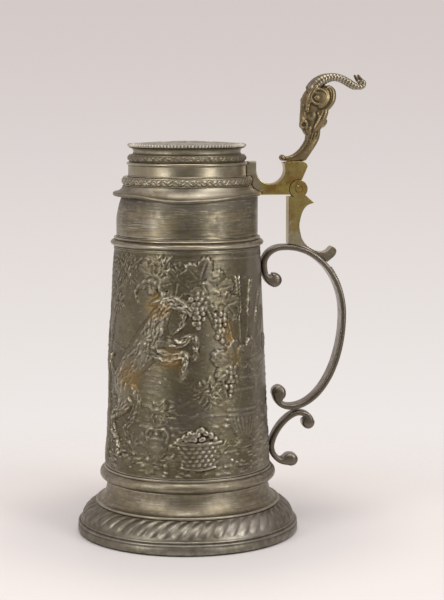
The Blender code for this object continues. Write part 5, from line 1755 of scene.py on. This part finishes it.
class TANKARD_OT_hinge(bpy.types.Operator):
    """Brass strap on the lid, the post on the handle and the pin through their rings"""

    bl_idname = "tankard.hinge"
    bl_label = "Hinge"

    def execute(self, context):
        size = context.scene.tankard.hinge
        strap = plate_mesh("lid_strap_filed", strap_outline(context.scene.tankard), size.width, size.ease)
        post = plate_mesh("hinge_post_filed", post_outline(size), size.width, size.ease)
        strap, post = cut_rings(strap, size, 0), cut_rings(post, size, 1)
        mark_strap(strap)
        mark_post(post)
        add_piece(strap, "filed_brass", "lid", "lid_strap", sharp=FILED_EDGE)
        add_piece(post, "filed_brass", "vessel", "hinge_post", sharp=FILED_EDGE)
        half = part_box("hinge_pin")[1].y
        pin = rod_mesh("hinge_pin_riveted", size.pin, -half, half, 0.25 * MM)
        add_piece(pin, "filed_brass", "vessel", "hinge_pin")
        return {"FINISHED"}


# Thumb lift


def lofted(name, front, back, half_width, boxiness):
    """Solid between smooth front and back lines in the X-Z plane, in millimetres, with rounded sides."""
    front, back = curve_through(front, 5) * MM, curve_through(back, 5) * MM
    across, aside = rounded_square(40, boxiness)
    middle, reach = (front + back) / 2.0, (back - front) / 2.0
    points = np.empty((len(front), len(across), 3))
    points[..., 0] = middle[:, :1] + reach[:, :1] * across
    points[..., 1] = spread(half_width, len(front))[:, None] * aside
    points[..., 2] = middle[:, 1:] + reach[:, 1:] * across
    caps = [np.repeat(points[end].mean(axis=0)[None, None], len(across), axis=1) for end in (0, -1)]
    return grid_mesh(name, np.concatenate([caps[0], points, caps[1]]), along=False)


def worm(knots, radii):
    """Round limb through knots, in millimetres."""
    path = curve_through(knots)
    return tube(path * MM, spread(radii, len(path)) * MM, 16)


def tube(path, thick, corners):
    """Round tube along a path in space, with rounded ends."""
    way = headings(path)
    side = np.cross(way, np.array([0.0, 1.0, 0.0]))
    side /= np.maximum(np.linalg.norm(side, axis=1, keepdims=True), 1e-9)
    over = np.cross(side, way)
    turn = turns(corners)[:, None]
    ring = side[:, None] * np.cos(turn) + over[:, None] * np.sin(turn)
    caps = []
    for end, sign, angles in ((0, -1.0, (90.0, 60.0, 30.0)), (-1, 1.0, (30.0, 60.0, 90.0))):
        angle = np.radians(angles)[:, None, None]
        place = path[end] + sign * way[end] * thick[end] * np.sin(angle)
        caps.append(place + ring[end] * thick[end] * np.cos(angle))
    points = path[:, None] + ring * thick[:, None, None]
    return cleaned(grid_mesh("tube", np.concatenate([caps[0], points, caps[1]]), along=False))


def melted(name, meshes, voxel, smoothing):
    """Closed meshes fused into one cast skin."""
    whole = shown(name, joined_mesh(name + "_parts", meshes))
    modify(whole, "REMESH", mode="VOXEL", voxel_size=voxel)
    modify(whole, "SMOOTH", factor=0.5, iterations=smoothing)
    return evaluated(whole, name)


def add_stem(size):
    """Curved stem with a scroll under its toe."""
    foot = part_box("thumb_lift_stem")[0].z / MM
    front = [(56.4, 0.2), (56.0, 1.4), (57.2, 2.5), (59.6, 2.9), (62.4, 4.1), (65.2, 6.3), (67.3, 8.9)]
    front += [(68.8, 11.4), (70.1, 14.2)]
    back = [(60.0, 0.0), (66.0, 0.0), (69.4, 0.2), (70.8, 1.8), (72.6, 4.4), (74.6, 7.4), (76.4, 10.4)]
    back += [(77.7, 13.4), (78.3, 17.6)]
    wide = np.array([0.80, 0.84, 0.86, 0.90, 0.96, 1.0, 1.0, 0.96, 0.92]) * size.stem_width / 2.0
    stem = lofted("stem", np.array(front) + (0.0, foot), np.array(back) + (0.0, foot), wide, 3.0)
    reach, level = 0.4 * size.stem_width / MM, foot + 1.9
    toe = worm([(56.0, -reach, level), (55.8, 0.0, level), (56.0, reach, level)], (1.5, 1.9, 1.5))
    mesh = joined_mesh("thumb_lift_stem_cast", [stem, toe])
    add_piece(mesh, "cast_bronze", "lid", "thumb_lift_stem")


def add_head(size):
    """Ram's head, fused from a skull, the parts of its face and the curls on its brow."""
    front = [(70.6, 229.6), (68.2, 232.6), (66.3, 236.2), (66.0, 240.8), (66.4, 245.4), (66.7, 250.6)]
    front += [(68.4, 255.2), (71.2, 258.2), (75.2, 261.0)]
    back = [(77.8, 233.6), (80.0, 236.6), (80.6, 240.2), (81.4, 243.6), (82.0, 247.2), (83.0, 250.8)]
    back += [(83.2, 255.0), (82.0, 258.6), (78.6, 261.2)]
    wide = np.array([0.42, 0.56, 0.60, 0.62, 0.72, 0.84, 0.88, 0.76, 0.30]) * 1.04 * size.head_width / 2.0
    parts = [cleaned(lofted("skull", front, back, wide, 2.2)), *face_parts(-1.0), *face_parts(1.0)]
    rng = np.random.default_rng(CURLS_SEED)
    for z in np.arange(246.0, 261.0, 2.5):
        x = 68.2 + 0.040 * max(z - 249.0, 0.0) ** 2
        for across in np.linspace(-4.4, 4.4, 4) + rng.uniform(-0.7, 0.7, 4):
            middle = np.array([x + 0.12 * across**2, across, z]) + rng.uniform(-0.5, 0.5, 3)
            parts.append(blob(middle, rng.uniform(1.4, 2.0, 3)))
    head = melted("thumb_lift_head_cast", parts, size.voxel, 7)
    mark_cavities(head, 8, 0.45 * FULL_CURVATURE)
    add_piece(head, "cast_bronze", "lid", "thumb_lift_head")


def face_parts(side):
    """Eye in its ring, ear, nostril, lips, cheek wool and beard of one side of the head."""

    def ball(middle, radii, tilt=0.0):
        return blob(middle * mirror, radii, tilt)

    def limb(knots, radii):
        return worm(knots * mirror, radii)

    def ring(middle, wide, tall, thick, lean=0.0):
        turn = np.linspace(0.0, math.tau, 25)
        along = wide * np.cos(turn)
        return limb(middle + np.stack([along, lean * along, tall * np.sin(turn)], axis=1), (thick, thick))

    mirror = np.array([1.0, side, 1.0])
    ear = [(82.2, 4.6, 258.8), (84.2, 4.9, 256.2), (84.2, 4.9, 251.6), (81.8, 4.7, 247.6)]
    ear.append((78.2, 4.4, 244.6))
    jaw = [(71.6, 1.2, 231.4), (75.0, 2.6, 235.0), (78.0, 3.8, 240.0), (80.0, 4.6, 244.4)]
    brow = [(69.8, 3.9, 249.6), (71.6, 5.4, 254.8), (75.0, 5.6, 259.0)]
    parts = [
        ball((78.6, 5.0, 252.4), (6.2, 1.9, 6.4)),
        ring((76.0, 6.0, 253.3), 4.7, 4.4, 0.85),
        ball((74.9, 6.0, 252.5), (1.6, 1.2, 1.5)),
        limb(ear, (1.2, 2.0, 2.1, 2.0, 1.5)),
        ring((68.2, 3.1, 237.1), 1.5, 1.9, 0.75, 0.9),
        ball((71.0, 2.2, 234.8), (2.7, 2.3, 4.0), 12.0),
        limb(jaw, (1.8, 2.4, 2.8, 2.2)),
        limb(brow, (1.4, 1.8, 1.5)),
        ball((69.6, 2.4, 243.4), (2.2, 2.0, 4.6), -8.0),
        ball((72.8, 3.7, 242.6), (3.0, 1.5, 3.6), 20.0),
    ]
    curls = [(79.2, 2.2, 241.4, 5.0), (77.2, 3.4, 239.6, 4.2), (76.2, 3.7, 245.4, 4.6)]
    curls += [(70.0, 3.9, 252.0, 3.2), (71.4, 4.1, 255.8, 3.4)]
    for x, y, z, drop in curls:
        curl = [(x, y, z), (x + 0.9, y + 0.4, z - 0.5 * drop), (x + 0.2, y + 0.1, z - drop)]
        parts.append(limb(curl, (1.5, 1.9, 1.1)))
    beard = ((72.6, 69.8, 226.4), (74.2, 71.6, 225.4), (75.8, 73.4, 226.6), (77.2, 75.2, 228.4))
    for top, foot, low in beard:
        lock = [(top, 3.4, 236.4), (0.4 * top + 0.6 * foot, 3.2, 231.0), (foot, 2.9, low)]
        parts.append(limb(lock, (1.0, 0.9, 0.4)))
    return parts


def add_horn(name, side, size):
    """Ribbed horn that sweeps back from the brow and ends in an upturned hook."""
    knots = [(73.8, 2.9, 258.4), (76.8, 3.2, 261.4), (80.8, 3.5, 263.6), (85.4, 3.8, 264.4)]
    knots += [(89.8, 4.2, 263.7), (93.7, 4.4, 261.9), (96.6, 4.5, 260.1), (99.6, 4.6, 258.8)]
    knots += [(102.2, 4.6, 259.2), (102.9, 4.6, 261.2), (101.2, 4.5, 262.9), (99.6, 4.4, 265.3)]
    radii = (3.4, 3.3, 3.0, 2.65, 2.3, 2.05, 1.9, 1.85, 1.75, 1.5, 1.25, 0.7)
    path = evenly(curve_through(knots * np.array([1.0, side, 1.0]), 14) * MM, 260)
    gone = run_lengths(path)
    end = gone[-1]
    rib = np.abs(np.sin(math.pi * gone / size.rib)) ** 0.7
    deep = size.rib_depth * smooth_step(-0.2 * end, 0.6 * end, gone) * smooth_step(end, 0.9 * end, gone)
    mesh = tube(path, spread(radii, len(path)) * MM * (1.0 - deep * (1.0 - rib)), 24)
    mesh.name = f"thumb_lift_horn_{name}_cast"
    far = np.linalg.norm(points_of(mesh)[0] - path[-1], axis=1)
    set_mark(mesh, "tip", smooth_step(4.2 * MM, 2.0 * MM, far))
    add_piece(mesh, "horn_bronze", "lid", f"thumb_lift_horn_{name}")


class TANKARD_OT_thumb_lift(bpy.types.Operator):
    """Thumb lift: a curved stem, a ram's head and its two ribbed horns"""

    bl_idname = "tankard.thumb_lift"
    bl_label = "Thumb lift"

    def execute(self, context):
        size = context.scene.tankard.lift
        add_stem(size)
        add_head(size)
        for name, side in (("near", -1.0), ("far", 1.0)):
            add_horn(name, side, size)
        return {"FINISHED"}


# Stage


def add_floor(size):
    """Pale table that fades into the backdrop."""
    radii = np.concatenate([[0.0], np.geomspace(0.05, 6.0, 24)])
    mesh = cleaned(grid_mesh("floor", lathe(paired(radii, 0.0), COARSE_COLUMNS), along=False))
    material, graph, shader = new_material("pale_table")
    shader.inputs["Roughness"].default_value = 0.55
    place = graph.place()
    reach = graph.node("ShaderNodeVectorMath", {"operation": "LENGTH"}, {0: place}, "Value")
    amount = graph.fade(reach, 0.07, 0.16) - graph.noise(place, 3.0) * 0.2
    graph.feed(shader.inputs["Base Color"], graph.tint(amount, size.floor, size.sky_low))
    clear = graph.node("ShaderNodeBsdfTransparent")
    sockets = {0: graph.fade(reach, 0.05, 0.36), 1: Wire(graph, shader.outputs[0]), 2: clear}
    ending = material.node_tree.nodes["Material Output"]
    graph.feed(ending.inputs["Surface"], graph.node("ShaderNodeMixShader", sockets=sockets))
    mesh.materials.append(material)
    shown("floor", mesh)


def set_world(scene, size):
    """Backdrop that grows darker upwards, and a dimmer room on the camera's side."""
    scene.world = bpy.data.worlds.new("studio")
    scene.world.use_nodes = True
    graph = Graph(scene.world.node_tree)
    way = graph.node("ShaderNodeTexCoord", output="Generated")
    rise = graph.node("ShaderNodeSeparateXYZ", sockets={0: way}, output="Z")
    aside, depth = (Wire(graph, rise.socket.node.outputs[axis]) for axis in "XY")
    sky = graph.tint(graph.fade(rise, -0.30, 0.12), size.sky_low, size.sky_high)
    above = graph.fade(rise, -0.5, -0.1)
    front = graph.fade(depth, 0.15, -0.75) * graph.fade(rise, 0.75, 0.25) * above
    flag = graph.fade(aside, 0.45, 0.80) * graph.fade(rise, 0.40, 0.05) * above
    light = graph.tint(flag * 0.45, graph.tint(front, sky, size.room), size.room)
    graph.feed(scene.world.node_tree.nodes["Background"].inputs["Color"], light)


def direction(turn, rise):
    """Unit vector at an angle round Z and an angle above the level."""
    return Vector((math.cos(turn) * math.cos(rise), math.sin(turn) * math.cos(rise), math.sin(rise)))


def aimed(name, data, place, way):
    """Lamp or camera at a place, facing a way."""
    item = shown(name, data)
    item.location = place
    item.rotation_mode = "QUATERNION"
    item.rotation_quaternion = way.to_track_quat("-Z", "Y")
    return item


def add_lights(size):
    """Two upright softboxes in front of the tankard and one overhead."""
    boxes = (
        ("left_softbox", -47.0, 16.0, 1.05, (0.30, 0.75), size.fill_power),
        ("right_softbox", 45.0, 17.0, 1.05, (0.28, 0.75), size.key_power),
        ("top_softbox", 10.0, 74.0, 1.10, (0.70, 0.70), size.top_power),
    )
    for name, turn, rise, distance, extent, power in boxes:
        lamp = bpy.data.lights.new(name, "AREA")
        lamp.shape = "RECTANGLE"
        lamp.size, lamp.size_y = extent
        lamp.energy = power
        lamp.color = (1.0, 0.98, 0.955)
        way = direction(size.azimuth - math.pi / 2.0 + math.radians(turn), math.radians(rise))
        aimed(name, lamp, Vector((0.0, 0.0, 0.14)) + way * distance, -way)


def add_camera(scene, size):
    """Camera at the photograph's place, turned a little right of the axis and tilted down."""
    lens = bpy.data.cameras.new("camera")
    lens.lens = size.lens
    lens.sensor_width = 36.0
    place = (math.sin(size.azimuth) * size.distance, -math.cos(size.azimuth) * size.distance, size.height)
    way = direction(math.pi / 2.0 + size.azimuth - size.yaw, -size.pitch)
    scene.camera = aimed("camera", lens, place, way)


class TANKARD_OT_stage(bpy.types.Operator):
    """Pale floor and backdrop, softboxes and the camera"""

    bl_idname = "tankard.stage"
    bl_label = "Stage"

    def execute(self, context):
        size = context.scene.tankard.stage
        add_floor(size)
        set_world(context.scene, size)
        add_lights(size)
        add_camera(context.scene, size)
        context.scene.view_settings.view_transform = "Standard"
        return {"FINISHED"}


OPERATORS = (
    TANKARD_OT_stage, TANKARD_OT_foot, TANKARD_OT_drum, TANKARD_OT_neck, TANKARD_OT_lid, TANKARD_OT_handle,
    TANKARD_OT_hinge, TANKARD_OT_thumb_lift,
)


class TANKARD_PT_panel(bpy.types.Panel):
    """Sidebar panel that lists the tankard's pieces"""

    bl_idname = "TANKARD_PT_panel"
    bl_label = "Tankard"
    bl_space_type = "VIEW_3D"
    bl_region_type = "UI"
    bl_category = "Tankard"

    def draw(self, context):
        for operator in OPERATORS:
            self.layout.operator(operator.bl_idname)


CLASSES = (
    FootSettings, DrumSettings, NeckSettings, LidSettings, HandleSettings, HingeSettings, ThumbLiftSettings,
    MetalSettings, StageSettings, TankardSettings, *OPERATORS, TANKARD_PT_panel,
)


def register():
    """Register the classes and give the scene its settings."""
    for item in CLASSES:
        bpy.utils.register_class(item)
    bpy.types.Scene.tankard = PointerProperty(type=TankardSettings)


def unregister():
    """Take back what register added."""
    del bpy.types.Scene.tankard
    for item in reversed(CLASSES):
        bpy.utils.unregister_class(item)


def main():
    """Dress the tankard piece by piece."""
    register()
    bpy.ops.tankard.stage()
    bpy.ops.tankard.foot()
    bpy.ops.tankard.drum()
    bpy.ops.tankard.neck()
    bpy.ops.tankard.lid()
    bpy.ops.tankard.handle()
    bpy.ops.tankard.hinge()
    bpy.ops.tankard.thumb_lift()


if __name__ == "__main__":
    main()
